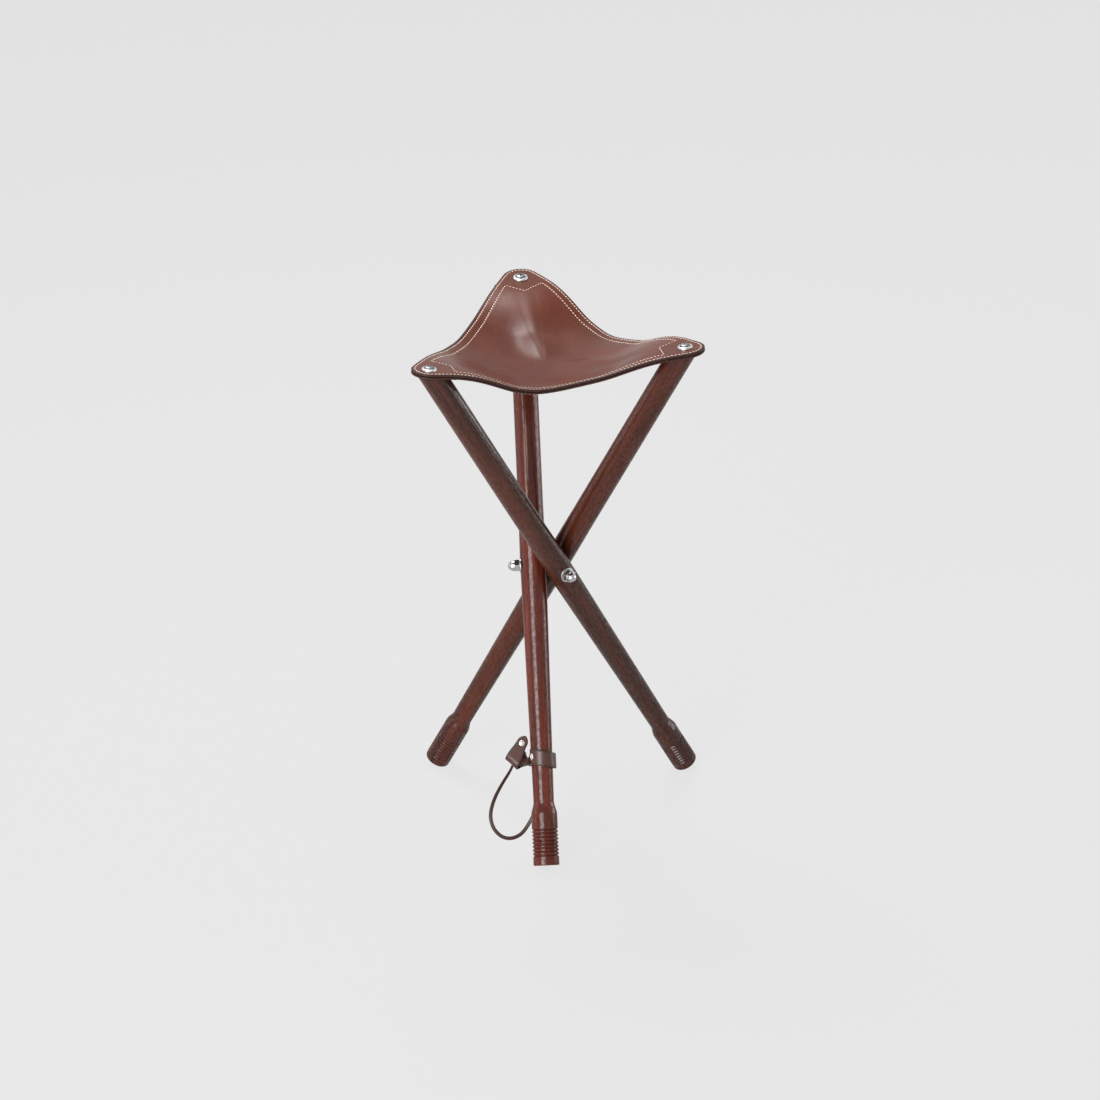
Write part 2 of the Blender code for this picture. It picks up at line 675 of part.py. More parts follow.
def ribbon_mesh(name, stations, thickness):
    """Strip of leather: at each station a flat section, across the given way and square to the path."""
    places = np.array([tuple(place) for place, _, _ in stations])
    across = np.array([tuple(way) for _, way, _ in stations])
    half = np.array([width / 2 for _, _, width in stations])[:, None]
    tangents = np.gradient(places, axis=0)
    normals = np.cross(tangents, across)
    normals /= np.linalg.norm(normals, axis=1, keepdims=True)
    left = places + across * half
    right = places - across * half
    up = normals * (thickness / 2)
    top = np.stack((left + up, right + up), 1)
    bottom = np.stack((left - up, right - up), 1)
    return grid_shell(name, top, bottom)


def snap_matrix():
    """Frame of the snap on the tongue: origin on the leather's middle, Z out of its front face."""
    _, _, tongue, _ = strap_frame()
    crossing = strap_path()[-TONGUE_STATIONS - 1][0]
    place = crossing + tongue * SNAP_PLACE
    front = Vector((0, 1, 0))
    columns = Matrix((tongue, front.cross(tongue), front)).transposed().to_4x4()
    return Matrix.Translation(place) @ columns


def stud_matrix():
    """Frame of the snap's stud on the band round the leg, Z out of the leather."""
    x = STRAP_RADIUS * math.cos(STUD_ANGLE) - STRAP_STAND_OFF
    y = STRAP_RADIUS * math.sin(STUD_ANGLE)
    place = Vector((x, y, STRAP_SLANT * x))
    out = Vector((math.cos(STUD_ANGLE), math.sin(STUD_ANGLE), 0))
    side = Vector((0, 0, 1)).cross(out)
    columns = Matrix((side, Vector((0, 0, 1)), out)).transposed().to_4x4()
    return Matrix.Translation(place) @ columns


def post_hole(matrix):
    radius = SNAP_POST_RADIUS + GAP
    depth = 3.0 * STRAP_LEATHER
    mesh = turned("hole", ((0, -depth / 2), (radius, -depth / 2), (radius, depth / 2), (0, depth / 2)), 12)
    return "DIFFERENCE", mesh, matrix


def snap_cap_mesh():
    """Domed cap whose post goes through the leather."""
    base = STRAP_LEATHER / 2 + GAP
    end = -STRAP_LEATHER / 2 - GAP
    profile = [(0, end), (SNAP_POST_RADIUS, end), (SNAP_POST_RADIUS, base), (SNAP_CAP_RADIUS, base)]
    for step in range(1, 5):
        angle = step / 4 * math.pi / 2
        radius = SNAP_CAP_RADIUS * math.cos(angle) if step < 4 else 0.0
        profile.append((radius, base + SNAP_CAP_HEIGHT * (0.25 + 0.75 * math.sin(angle))))
    return turned("snap_cap", profile, 20)


def snap_socket_mesh():
    """Socket ring behind the leather, under the cap."""
    top = -STRAP_LEATHER / 2 - 2.0 * GAP
    low = top - SNAP_SOCKET_HEIGHT
    shoulder = (SNAP_SOCKET_BORE + SNAP_SOCKET_RADIUS) / 2
    profile = ((SNAP_SOCKET_BORE, top), (SNAP_SOCKET_BORE, low), (shoulder, low),
               (SNAP_SOCKET_RADIUS, top - GAP), (SNAP_SOCKET_RADIUS, top))
    return turned("snap_socket", profile, 20)


def snap_stud_mesh():
    """Stud on the band that the socket closes over."""
    base = STRAP_LEATHER / 2 + GAP
    flange = base + STUD_HEIGHT / 3
    top = base + STUD_HEIGHT
    crown = SNAP_POST_RADIUS
    profile = ((0, -STRAP_LEATHER / 2), (SNAP_POST_RADIUS, -STRAP_LEATHER / 2), (SNAP_POST_RADIUS, base),
               (STUD_RADIUS, base), (STUD_RADIUS - GAP, flange), (STUD_NECK_RADIUS, flange + GAP),
               (STUD_KNOB_RADIUS, top - 2.0 * GAP), (crown, top), (0, top))
    return turned("snap_stud", profile, 20)


def thong_curve():
    """Hanging loop: a round tube on a smooth curve through the route's points."""
    points = [Vector(p) + Vector((0, 0, STRAP_PLACE)) for p in THONG_POINTS]
    curve = bpy.data.curves.new("thong", "CURVE")
    curve.dimensions = "3D"
    curve.bevel_depth = THONG_RADIUS
    curve.bevel_resolution = 2
    curve.use_fill_caps = True
    spline = curve.splines.new("POLY")
    spline.points.add(THONG_STEPS)
    count = len(points) - 1
    for index in range(THONG_STEPS + 1):
        place = index / THONG_STEPS * count
        k = min(int(place), count - 1)
        t = place - k
        p0 = points[max(k - 1, 0)]
        p1 = points[k]
        p2 = points[k + 1]
        p3 = points[min(k + 2, count)]
        bend = (p1 * 2 + (p2 - p0) * t + (p0 * 2 - p1 * 5 + p2 * 4 - p3) * t ** 2
                + (p1 * 3 - p0 - p2 * 3 + p3) * t ** 3) * 0.5
        spline.points[index].co = (*bend, 1.0)
    return curve


def build():
    clear_scene()
    wood = {key: material("stained wood leg " + key, (0.155, 0.034, 0.021), 0.28) for key in "abc"}
    leather = (0.205, 0.066, 0.048)
    bright = (0.75, 0.75, 0.74)
    hub = add_empty("hub", None, Matrix.Identity(4))
    add_object("three_way_bolt", three_way_bolt_mesh(), material("bolt steel", bright, 0.25, 1.0), hub)
    add_object("seat_leather", seat_leather_mesh(), material("seat leather", leather, 0.4), hub)
    for lap, name in enumerate(EDGES):
        finish = material("edge strip " + name, leather, 0.5)
        add_object("edge_strip_" + name, strip_mesh(lap), finish, hub)
    for key in "abc":
        fold = add_empty("fold_" + key, hub, arm_matrix(key))
        level = arm_matrix(key).inverted()
        corner = level @ corner_matrix(key)
        lap = CORNERS.index(key)
        arm = Matrix.Identity(4)
        add_object("leg_" + key, leg_mesh(key), wood[key], fold)
        patch = patch_mesh(lap)
        add_object("corner_patch_" + key, patch, material("corner patch " + key, leather, 0.5), fold, level)
        metal = material("cup washer " + key, bright, 0.18, 1.0)
        add_object("cup_washer_" + key, cup_washer_mesh(), metal, fold, corner)
        add_object("seat_screw_" + key, seat_screw_mesh(), material("screw " + key, bright, 0.2, 1.0), fold,
                   corner)
        station = add_empty("arm_" + key, hub, arm_matrix(key))
        add_object("pivot_washer_" + key, washer_mesh(), material("washer " + key, bright, 0.25, 1.0),
                   station, arm)
        add_object("cap_nut_" + key, cap_nut_mesh(), material("cap nut " + key, bright, 0.15, 1.0),
                   station, arm)
    fold_b = bpy.data.objects["fold_b"]
    strap_place = Matrix.Translation((0, 0, STRAP_PLACE))
    strap = ribbon_mesh("strap", strap_path(), STRAP_LEATHER)
    strap = cut(strap, [post_hole(snap_matrix()), post_hole(stud_matrix())], "closing_strap")
    add_object("closing_strap", strap, material("strap leather", leather, 0.45), fold_b, strap_place)
    nickel = (0.78, 0.76, 0.72)
    snap = strap_place @ snap_matrix()
    add_object("snap_cap", snap_cap_mesh(), material("snap cap", nickel, 0.2, 1.0), fold_b, snap)
    add_object("snap_socket", snap_socket_mesh(), material("snap socket", nickel, 0.25, 1.0), fold_b, snap)
    stud = strap_place @ stud_matrix()
    add_object("snap_stud", snap_stud_mesh(), material("snap stud", nickel, 0.25, 1.0), fold_b, stud)
    add_object("thong", thong_curve(), material("thong leather", (0.11, 0.045, 0.035), 0.5), fold_b)
    stand(hub)


def stand(hub):
    """Set the stool's outline, without the thong, in the middle of the frame and its feet on the floor."""
    bpy.context.view_layer.update()
    graph = bpy.context.evaluated_depsgraph_get()
    low = np.full(3, np.inf)
    high = np.full(3, -np.inf)
    for made in bpy.data.objects:
        if made.type != "MESH":
            continue
        shape = made.evaluated_get(graph)
        places = np.array([tuple(made.matrix_world @ v.co) for v in shape.data.vertices])
        low = np.minimum(low, places.min(axis=0))
        high = np.maximum(high, places.max(axis=0))
    middle = (low + high) / 2
    hub.location = (-middle[0], -middle[1], -low[2])
    bpy.context.view_layer.update()


build()
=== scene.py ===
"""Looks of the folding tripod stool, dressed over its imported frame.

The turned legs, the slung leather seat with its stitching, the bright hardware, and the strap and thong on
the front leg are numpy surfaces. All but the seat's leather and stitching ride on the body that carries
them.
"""

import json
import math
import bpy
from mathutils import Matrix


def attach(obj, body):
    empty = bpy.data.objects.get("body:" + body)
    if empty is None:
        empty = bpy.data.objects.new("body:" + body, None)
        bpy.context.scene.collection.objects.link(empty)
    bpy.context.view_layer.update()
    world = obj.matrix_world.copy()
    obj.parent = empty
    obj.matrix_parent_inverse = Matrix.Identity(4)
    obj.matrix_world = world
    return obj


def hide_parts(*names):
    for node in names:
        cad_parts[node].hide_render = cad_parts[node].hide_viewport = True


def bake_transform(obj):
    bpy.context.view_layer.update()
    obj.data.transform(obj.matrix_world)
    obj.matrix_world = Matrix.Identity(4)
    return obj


bl_info = {
    "name": "Folding Tripod Stool Finish",
    "version": (1, 0, 0),
    "blender": (4, 5, 0),
    "location": "View3D > Sidebar > Stool",
    "description": "Dresses a folding tripod stool in stained wood, stitched leather and bright hardware",
    "category": "Object",
}

import bmesh
import bpy
import numpy as np
from bpy.props import FloatProperty, FloatVectorProperty, PointerProperty
from mathutils import Matrix, Vector

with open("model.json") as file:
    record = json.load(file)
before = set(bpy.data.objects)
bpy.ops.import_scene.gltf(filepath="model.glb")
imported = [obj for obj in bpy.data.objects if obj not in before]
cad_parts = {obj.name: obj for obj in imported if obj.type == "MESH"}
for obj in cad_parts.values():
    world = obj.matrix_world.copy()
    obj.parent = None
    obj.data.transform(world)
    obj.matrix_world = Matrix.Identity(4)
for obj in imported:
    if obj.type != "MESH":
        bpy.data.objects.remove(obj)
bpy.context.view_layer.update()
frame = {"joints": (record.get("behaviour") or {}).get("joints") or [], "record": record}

# Places that the frame gives

LEGS = ("a", "b", "c")
JOINTS = {joint["child"]: joint for joint in frame["joints"]}
MOUNTS = {mount["name"]: mount for mount in frame["record"]["mounts"]}
PIVOT = {key: np.array(JOINTS["leg_" + key]["pos_m"]) for key in LEGS}
HUB = sum(PIVOT.values()) / 3
ARM = {key: -np.array(JOINTS["leg_" + key]["axis"]) for key in LEGS}
LEG_UP = {key: -np.array(MOUNTS["foot_" + key]["axis"]) for key in LEGS}
LEG_AXES = {key: np.array([ARM[key], np.cross(LEG_UP[key], ARM[key]), LEG_UP[key]]) for key in LEGS}

# Sizes of the solids that the looks stand on, in metres

GAP = 0.0003
FOOT_REACH = 0.350
SEAT_REACH = 0.3375
PIVOT_RADIUS = 0.0152
UPPER_RADIUS = 0.0147
SWELL_LENGTH = 0.070
NECK_RADIUS = 0.0119
FOOT_RADIUS = 0.0151
FOOT_EDGE = 0.0014
END_BAND = 0.0108
GROOVE_COUNT = 8
GROOVE_PITCH = 0.00425
GROOVE_WIDTH = 0.0017
COLLAR_LENGTH = 0.0165
SHOULDER_LENGTH = 0.0155
ARM_OFFSET = 0.0204
BOSS_RADIUS = 0.0050
BOLT_RADIUS = 0.0040
BOLT_PAST_WASHER = 0.008
CORE_RADIUS = 0.0046
CORE_HEIGHT = 0.0108
SPOT_FACE = 0.0139
SPOT_RADIUS = 0.0092
WASHER_RADIUS = 0.0086
WASHER_THICKNESS = 0.0016
NUT_ACROSS_FLATS = 0.0130
NUT_HEX_HEIGHT = 0.0062
NUT_DOME_RADIUS = 0.0060
NUT_HEIGHT = 0.0136
NUT_CHAMFER = 0.0007
SCREW_SHANK_RADIUS = 0.0022
SCREW_HEAD_RADIUS = 0.0058
SCREW_DOME = 0.0019
SCREW_SINK = 0.0019
SCREW_TAPER_START = 0.020
SCREW_LENGTH = 0.026
RECESS_SPAN = 0.0056
RECESS_WIDTH = 0.0013
RECESS_DEPTH = 0.0014
CUP_RADIUS = 0.0089
CUP_HEIGHT = 0.0023
CUP_LIP_RADIUS = 0.0066
LEATHER = 0.0030
STRIP_LEATHER = 0.0022
PATCH_LEATHER = 0.0025
STRIP_WIDTH = 0.0140
LOBE_RADIUS = 0.0220
LOBE_SHIFT = {"a": (0.0020, 0.0050), "b": (0.0007, 0.0028), "c": (0.0000, 0.0000)}
CORNER_SLOPE = math.radians(6)
CORNER_FLAT = 0.0215
CORNER_BEND = 0.1050
CENTRE_DROP = 0.0405
ARM_CURVE = 1.25
BOWL_CURVE = 1.9
PATCH_TIP = 0.0330
PATCH_SHARE = 0.09
ARC_SHARE = 0.30
EDGE_SAG = np.array([0.0373, 0.0215, 0.0271])
EDGE_DEEPEST = np.array([0.53, 0.52, 0.41])
EDGE_ROUNDING = 0.14
STRAP_PLACE = np.array([0.0, 0.0, -0.226])
STRAP_WIDTH = 0.0180
STRAP_LEATHER = 0.0018
STRAP_RADIUS = 0.0148
STRAP_STAND_OFF = 0.0009
STRAP_SLANT = 0.20
STRAP_START = math.radians(18)
FOLD_CENTRE = np.array([0.0310, -0.0040, 0.0])
FOLD_RADIUS = 0.0060
FOLD_AXIS = math.radians(-45)
TONGUE_LENGTH = 0.0295
TONGUE_WIDTH = 0.0130
TONGUE_POINT = 0.0085
TONGUE_TIP = 0.0008
TONGUE_ANGLE = math.radians(59)
SNAP_PLACE = 0.0200
SNAP_CAP_RADIUS = 0.0036
SNAP_CAP_HEIGHT = 0.0014
SNAP_POST_RADIUS = 0.0014
SNAP_SOCKET_RADIUS = 0.0042
SNAP_SOCKET_BORE = 0.0022
SNAP_SOCKET_HEIGHT = 0.0016
STUD_ANGLE = math.radians(34)
STUD_RADIUS = 0.0040
STUD_HEIGHT = 0.0018
STUD_NECK_RADIUS = 0.0017
STUD_KNOB_RADIUS = 0.0020
THONG_POINTS = np.array((
    (0.0318, -0.0131, -0.0010), (0.0345, -0.0131, -0.0075), (0.0385, -0.0128, -0.0145),
    (0.0480, -0.0105, -0.0285), (0.0560, -0.0090, -0.0425), (0.0610, -0.0088, -0.0560),
    (0.0620, -0.0098, -0.0675), (0.0585, -0.0120, -0.0790), (0.0500, -0.0150, -0.0880),
    (0.0390, -0.0175, -0.0905), (0.0275, -0.0195, -0.0860), (0.0185, -0.0205, -0.0755),
    (0.0110, -0.0205, -0.0620), (0.0060, -0.0200, -0.0450), (0.0020, -0.0190, -0.0280),
    (-0.0005, -0.0180, -0.0120), (-0.0009, -0.0178, -0.0020),
))

# Looks that the solids don't have

# Each leg's stain scale: partly the legs' own differing stain, partly painted shade, as legs a and c are
# darkened
LEG_STAIN_AND_SHADE = {"a": (0.46, 0.66, 0.70), "b": (0.90, 0.76, 0.74), "c": (0.55, 0.60, 0.54)}
RIDGE_HEIGHT = (0.0036, 0.0070, 0.0010)
RIDGE_WIDTH = (0.0145, 0.0180, 0.0240)
RIDGE_SHIFT = (-0.0049, 0.0010, 0.0)
RIDGE_START = -0.014
RIDGE_STOP = 0.165
RIDGE_FADE = 0.075
EASE_BEARING = math.radians(32)
EASE_CENTRE = 0.22
EASE_START = 0.30
EASE_END = 0.98
SCREW_DOME_SHARE = 0.985
FOOT_RINGS = (0.0, 0.004, 0.009)
TOP_RINGS = (0.00015, 0.0005, 0.004, 0.010)
TOP_CHAMFER = (0.0005, 0.00012)
TOP_STRETCH = 0.060
SEAM_PRESS = (0.00032, 0.00028)
SEAM_SPREAD = 0.0007
SEAM_FADE = 0.02
FIELD_GAP = 0.03
PATCH_MARGIN = 0.0010
STITCH_SHARE = 0.80
STITCH_SINK = (0.00018, 0.0001)
MERGE_DISTANCE = 0.0000015
SMOOTH_ANGLE = math.radians(35)
STRIP_ANGLE = math.radians(60)
FRAME_PIXELS = 1100.0
SENSOR_WIDTH = 36.0
AIM_PIXELS = (0.32, 14.17)
FLOOR_SIZE = 40.0
FLOOR_DROP = 0.0002
FLOOR_GLOW = 0.93
LAMPS = {
    "key": ((-1.62, -2.75, 1.1), (0.0, 0.0, 0.4), 1.7, 3.2),
    "overhead": ((-0.37, 1.02, 2.24), (0.0, 0.0, 0.56), 0.8, 0.8),
    "fill": ((2.9, 0.7, 0.45), (0.0, 0.0, 0.33), 2.2, 1.6),
    "side": ((-2.95, 0.50, 1.0), (0.0, 0.0, 0.5), 2.2, 2.0),
}

# Directions along the three axes, and grids

OUT, FRONT, UP = np.eye(3)
CORNERS = ("c", "b", "a")
LEG_COLUMNS = 144
TURNED_COLUMNS = 72
SCREW_COLUMNS = 120
ARC_COLUMNS = 22
EDGE_COLUMNS = 44
STITCH_ROWS = 9
STITCH_COLUMNS = 8
LIP_ROWS = 8
FIELD_ROWS = 33
SLOPE_STEP = 0.0005
COLUMN_STEP = 0.002

def colour_setting(name, description, default):
    return FloatVectorProperty(name=name, description=description, default=default, subtype="COLOR",
                               min=0.0, max=1.0)

def factor_setting(name, description, default):
    return FloatProperty(name=name, description=description, default=default, subtype="FACTOR",
                         min=0.0, max=1.0)

def length_setting(name, description, default, low, high):
    return FloatProperty(name=name, description=description, default=default, unit="LENGTH",
                         min=low, max=high)

def power_setting(name, description, default):
    return FloatProperty(name=name, description=description, default=default, subtype="POWER", min=0.0)

def angle_setting(name, description, degrees):
    return FloatProperty(name=name, description=description, default=math.radians(degrees), subtype="ANGLE")

class StoolWood(bpy.types.PropertyGroup):
    """Stain and varnish of the legs."""

    stain: colour_setting("Stain", "Colour of the stained wood", (0.165, 0.033, 0.017))
    dark_grain: colour_setting("Dark Grain", "Colour of the grain's dark streaks", (0.045, 0.011, 0.007))
    groove_depth: length_setting("Groove Depth", "Depth of the turned grooves at the foot",
                                 0.0015, 0.0, 0.003)
    varnish: factor_setting("Varnish Roughness", "Roughness of the varnish", 0.20)

class StoolLeather(bpy.types.PropertyGroup):
    """Leather and thread of the seat."""

    hide: colour_setting("Hide", "Colour of the seat's leather", (0.122, 0.030, 0.016))
    edge: colour_setting("Edge", "Colour of the burnished edges", (0.036, 0.016, 0.013))
    thread: colour_setting("Thread", "Colour of the sewing thread", (0.92, 0.77, 0.65))
    seam_inset: length_setting("Seam Inset", "Distance of the outer seam from the edge",
                               0.0040, 0.001, 0.010)
    inner_inset: length_setting("Inner Seam Inset", "Distance of the inner seam from the edge",
                                0.0122, 0.008, 0.020)
    stitch_pitch: length_setting("Stitch Pitch", "Length of one stitch and its gap", 0.0042, 0.002, 0.010)
    stitch_width: length_setting("Stitch Width", "Thickness of the thread", 0.0012, 0.0003, 0.003)

class StoolStrap(bpy.types.PropertyGroup):
    """Leather of the closing strap and the thong."""

    hide: colour_setting("Strap Hide", "Colour of the strap's leather", (0.090, 0.033, 0.024))
    lace_width: length_setting("Thong Width", "Width of the flat thong", 0.0044, 0.001, 0.010)
    lace_thickness: length_setting("Thong Thickness", "Thickness of the flat thong", 0.0016, 0.0005, 0.005)

class StoolStage(bpy.types.PropertyGroup):
    """Floor, light and camera."""

    backdrop: factor_setting("Backdrop", "Brightness of the floor as the camera sees it", 0.791)
    sky: FloatProperty(
        name="Sky Strength", description="Strength of the even light from all round", default=0.27, min=0.0)
    key: power_setting("Key Power", "Power of the tall lamp, in watts", 158.0)
    overhead: power_setting("Overhead Power", "Power of the lamp overhead, in watts", 34.0)
    fill: power_setting("Fill Power", "Power of the lamp on the right, in watts", 42.0)
    side: power_setting("Side Power", "Power of the wide lamp on the left, in watts", 10.0)
    azimuth: angle_setting("Camera Azimuth", "Turn of the camera about the stool", -2.322)
    elevation: angle_setting("Camera Elevation", "Height of the camera above the hub", 25.401)
    roll: angle_setting("Camera Roll", "Roll of the camera", -1.411)
    distance: FloatProperty(
        name="Camera Distance", description="Distance of the camera from the hub", unit="LENGTH",
        default=4.8885, min=0.5)
    focal: FloatProperty(
        name="Focal Length", description="Focal length in millimetres on a 36 mm frame",
        default=137.127, min=10.0)

# Shader expressions

class Channel:
    """One varying number in a material. Arithmetic on it adds Math nodes."""

    def __init__(self, paint, socket):
        self.paint = paint
        self.socket = socket

    def math(self, operation, *values):
        node = self.paint.node("ShaderNodeMath", {"operation": operation}, *values)
        return Channel(self.paint, node.outputs[0])

    def __add__(self, other):
        return self.math("ADD", self, other)

    __radd__ = __add__

    def __sub__(self, other):
        return self.math("SUBTRACT", self, other)

    def __rsub__(self, other):
        return self.math("SUBTRACT", other, self)

    def __mul__(self, other):
        return self.math("MULTIPLY", self, other)

    def between(self, low, high):
        """Smooth step: 0 at low, 1 at high."""
        node = self.paint.node("ShaderNodeMapRange", {"interpolation_type": "SMOOTHSTEP"},
                               self, low, high, 0.0, 1.0)
        return Channel(self.paint, node.outputs[0])

class Paint:
    """Nodes of a material or world. New ones come from node(), the numbers from Channel's arithmetic."""

    def __init__(self, owner):
        owner.use_nodes = True
        self.owner = owner
        self.tree = owner.node_tree
        self.shader = self.tree.nodes.get("Principled BSDF")

    def node(self, kind, settings=None, *values, **named):
        made = self.tree.nodes.new(kind)
        for key, value in (settings or {}).items():
            setattr(made, key, value)
        for name, value in list(enumerate(values)) + list(named.items()):
            self.feed(made.inputs[name], value)
        return made

    def feed(self, socket, value):
        if isinstance(value, Channel):
            value = value.socket
        if isinstance(value, bpy.types.NodeSocket):
            self.tree.links.new(value, socket)
        elif isinstance(value, (tuple, list)) and socket.type == "RGBA":
            socket.default_value = (*value, 1.0)
        else:
            socket.default_value = value

    def place(self):
        return self.node("ShaderNodeTexCoord").outputs["Object"]

    def attribute(self, name):
        node = self.node("ShaderNodeAttribute", {"attribute_name": name})
        return Channel(self, node.outputs["Fac"])

    def along(self, point, origin, axis):
        """Distance of a point from an origin along an axis."""
        offset = self.node("ShaderNodeVectorMath", {"operation": "SUBTRACT"}, point, tuple(origin))
        dot = self.node("ShaderNodeVectorMath", {"operation": "DOT_PRODUCT"}, offset.outputs[0],
                        tuple(axis))
        return Channel(self, dot.outputs["Value"])

    def vector(self, x, y, z):
        return self.node("ShaderNodeCombineXYZ", None, x, y, z).outputs[0]

    def noise(self, point, scale, detail, roughness, distortion=0.0):
        node = self.node("ShaderNodeTexNoise", None, Vector=point, Scale=scale, Detail=detail,
                         Roughness=roughness, Distortion=distortion)
        return Channel(self, node.outputs[0])

    def mix(self, factor, low, high):
        """Colour between two colours."""
        node = self.node("ShaderNodeMix", {"data_type": "RGBA"})
        for index, value in ((0, factor), (6, low), (7, high)):
            self.feed(node.inputs[index], value)
        return node.outputs[2]

    def bump(self, height, distance, strength):
        node = self.node("ShaderNodeBump", None, Strength=strength, Distance=distance, Height=height)
        self.feed(self.shader.inputs["Normal"], node.outputs[0])

    def finish(self, **sockets):
        for name, value in sockets.items():
            self.feed(self.shader.inputs[name.replace("_", " ")], value)
        return self.owner

def new_paint(name):
    return Paint(bpy.data.materials.new(name))

def seen_directly(paint):
    """1 for rays from the camera and for those that glossy or clear surfaces send on, else 0."""
    rays = paint.node("ShaderNodeLightPath").outputs
    seen = Channel(paint, rays["Is Camera Ray"])
    for other in ("Is Glossy Ray", "Is Transmission Ray"):
        seen = seen.math("MAXIMUM", seen, Channel(paint, rays[other]))
    return seen

def scaled(colour, share):
    return tuple(share * part for part in colour)

def stained_wood(key):
    """Red-brown stain under varnish: fibres run up the leg, over a slow figure, with short dark pores."""
    colours = bpy.context.scene.stool_wood
    paint = new_paint("stained wood " + key)
    point = paint.place()
    x, y, z = (paint.along(point, PIVOT[key], axis) for axis in LEG_AXES[key])
    shift = LEGS.index(key) * 0.37
    figure = paint.noise(paint.vector(x, y, z * 0.055 + shift), 75.0, 2.0, 0.55, 0.8)
    fibres = paint.noise(paint.vector(x, y, z * 0.045 + shift), 620.0, 3.0, 0.62)
    pores = paint.noise(paint.vector(x, y, z * 0.10 + shift), 1500.0, 1.0, 0.5)
    grain = figure.between(0.30, 0.72) * 0.62 + fibres.between(0.30, 0.72) * 0.38
    # Each leg's tone is partly its own stain and partly painted shade, darker for legs a and c
    tone = LEG_STAIN_AND_SHADE[key]
    dark = tuple(np.multiply(colours.dark_grain, tone))
    stain = paint.mix(grain, dark, tuple(np.multiply(colours.stain, tone)))
    pore = pores.between(0.60, 0.72)
    colour = paint.mix(pore * 0.55, stain, dark)
    speckle = paint.noise(paint.vector(x, y, z * 0.4 + shift), 480.0, 2.0, 0.6).between(0.34, 0.66)
    paint.bump(fibres * 0.8 - pore, 0.00016, 0.6)
    return paint.finish(Base_Color=colour, Roughness=0.42 + fibres * 0.10, Specular_IOR_Level=0.0,
                        Coat_Weight=0.35 + speckle * 0.5, Coat_Roughness=colours.varnish, Coat_IOR=1.5)

def tanned_leather(name, hide, edge, gloss=0.16):
    """Smooth leather: slow mottling and fine pores, with a dark burnished line at its cut edge."""
    paint = new_paint(name)
    point = paint.place()
    mottle = paint.noise(point, 22.0, 3.0, 0.6, 0.3)
    grain = paint.noise(point, 950.0, 3.0, 0.6)
    fine = paint.noise(point, 210.0, 2.0, 0.55)
    tone = mottle.between(0.30, 0.70) * 0.6 + fine.between(0.3, 0.7) * 0.4
    body = paint.mix(tone, scaled(hide, 0.82), scaled(hide, 1.16))
    burnish = 1.0 - paint.attribute("from_edge").between(0.0008, 0.0034)
    body = paint.mix(burnish, body, tuple(edge))
    paint.bump(grain * 0.6 + fine * 0.4, 0.00008, 0.4)
    return paint.finish(Base_Color=body, Roughness=0.28 + grain * 0.08 + burnish * 0.10,
                        Specular_IOR_Level=gloss)

def sewing_thread():
    """Waxed cream thread with a slight twist."""
    paint = new_paint("cream thread")
    twist = paint.noise(paint.place(), 1400.0, 2.0, 0.6)
    thread = tuple(bpy.context.scene.stool_leather.thread)
    paint.bump(twist, 0.0001, 0.6)
    return paint.finish(Base_Color=paint.mix(twist, scaled(thread, 0.75), thread), Roughness=0.55)

def bright_plate(name, colour, roughness, recess_shade=1.0):
    """Plated metal with faint polishing marks. Where from_edge is 0, recess_shade scales its brightness as
    painted shade.
    """
    paint = new_paint(name)
    marks = paint.noise(paint.place(), 700.0, 3.0, 0.6)
    smear = paint.noise(paint.place(), 90.0, 2.0, 0.5)
    paint.bump(marks, 0.00002, 0.25)
    plate = paint.mix(smear, scaled(colour, 0.86), colour)
    # Painted shade: the plate darkens where from_edge is 0, in a screw's cross recess
    if recess_shade < 1.0:
        plate = paint.mix(paint.attribute("from_edge"), scaled(colour, recess_shade), plate)
    return paint.finish(Base_Color=plate, Metallic=1.0, Roughness=roughness + smear * 0.10)

# Meshes from grids

def grid_faces(rows, columns, loop_rows=False, loop_columns=True):
    """Quads of a grid of points that are numbered along its columns, row by row."""
    i = np.arange(rows if loop_rows else rows - 1)
    j = np.arange(columns if loop_columns else columns - 1)
    i, j = np.meshgrid(i, j, indexing="ij")
    i2 = (i + 1) % rows
    j2 = (j + 1) % columns
    quads = np.stack((i * columns + j, i * columns + j2, i2 * columns + j2, i2 * columns + j), -1)
    return quads.reshape(-1, 4)

def new_piece(name, points, faces, finish, sharp=SMOOTH_ANGLE, gap=None, normals=None):
    """Mesh from points and quads. Coincident points merge, so that poles and seams close.

    gap is kept for the material: each point's distance from the leather's edge, or 0 in a screw's cross,
    which is painted as shade, and 1 elsewhere. normals is the way the surface faces, where pieces have to
    meet without a visible join.
    """
    mesh = bpy.data.meshes.new(name)
    mesh.from_pydata(points.reshape(-1, 3).tolist(), [], faces.tolist())
    if gap is not None:
        attribute = mesh.attributes.new("from_edge", "FLOAT", "POINT")
        attribute.data.foreach_set("value", np.asarray(gap, np.float32).ravel())
    if normals is not None:
        attribute = mesh.attributes.new("facing", "FLOAT_VECTOR", "POINT")
        attribute.data.foreach_set("vector", np.asarray(normals, np.float32).ravel())
    work = bmesh.new()
    work.from_mesh(mesh)
    bmesh.ops.remove_doubles(work, verts=work.verts, dist=MERGE_DISTANCE)
    bmesh.ops.dissolve_degenerate(work, edges=work.edges, dist=MERGE_DISTANCE / 3)
    bmesh.ops.recalc_face_normals(work, faces=work.faces)
    work.to_mesh(mesh)
    work.free()
    mesh.materials.append(finish)
    mesh.shade_smooth()
    mesh.set_sharp_from_angle(angle=sharp)
    if normals is not None:
        facing = np.empty(3 * len(mesh.vertices), np.float32)
        mesh.attributes["facing"].data.foreach_get("vector", facing)
        mesh.normals_split_custom_set_from_vertices(facing.reshape(-1, 3).tolist())
        mesh.attributes.remove(mesh.attributes["facing"])
    piece = bpy.data.objects.new(name, mesh)
    bpy.context.scene.collection.objects.link(piece)
    return piece

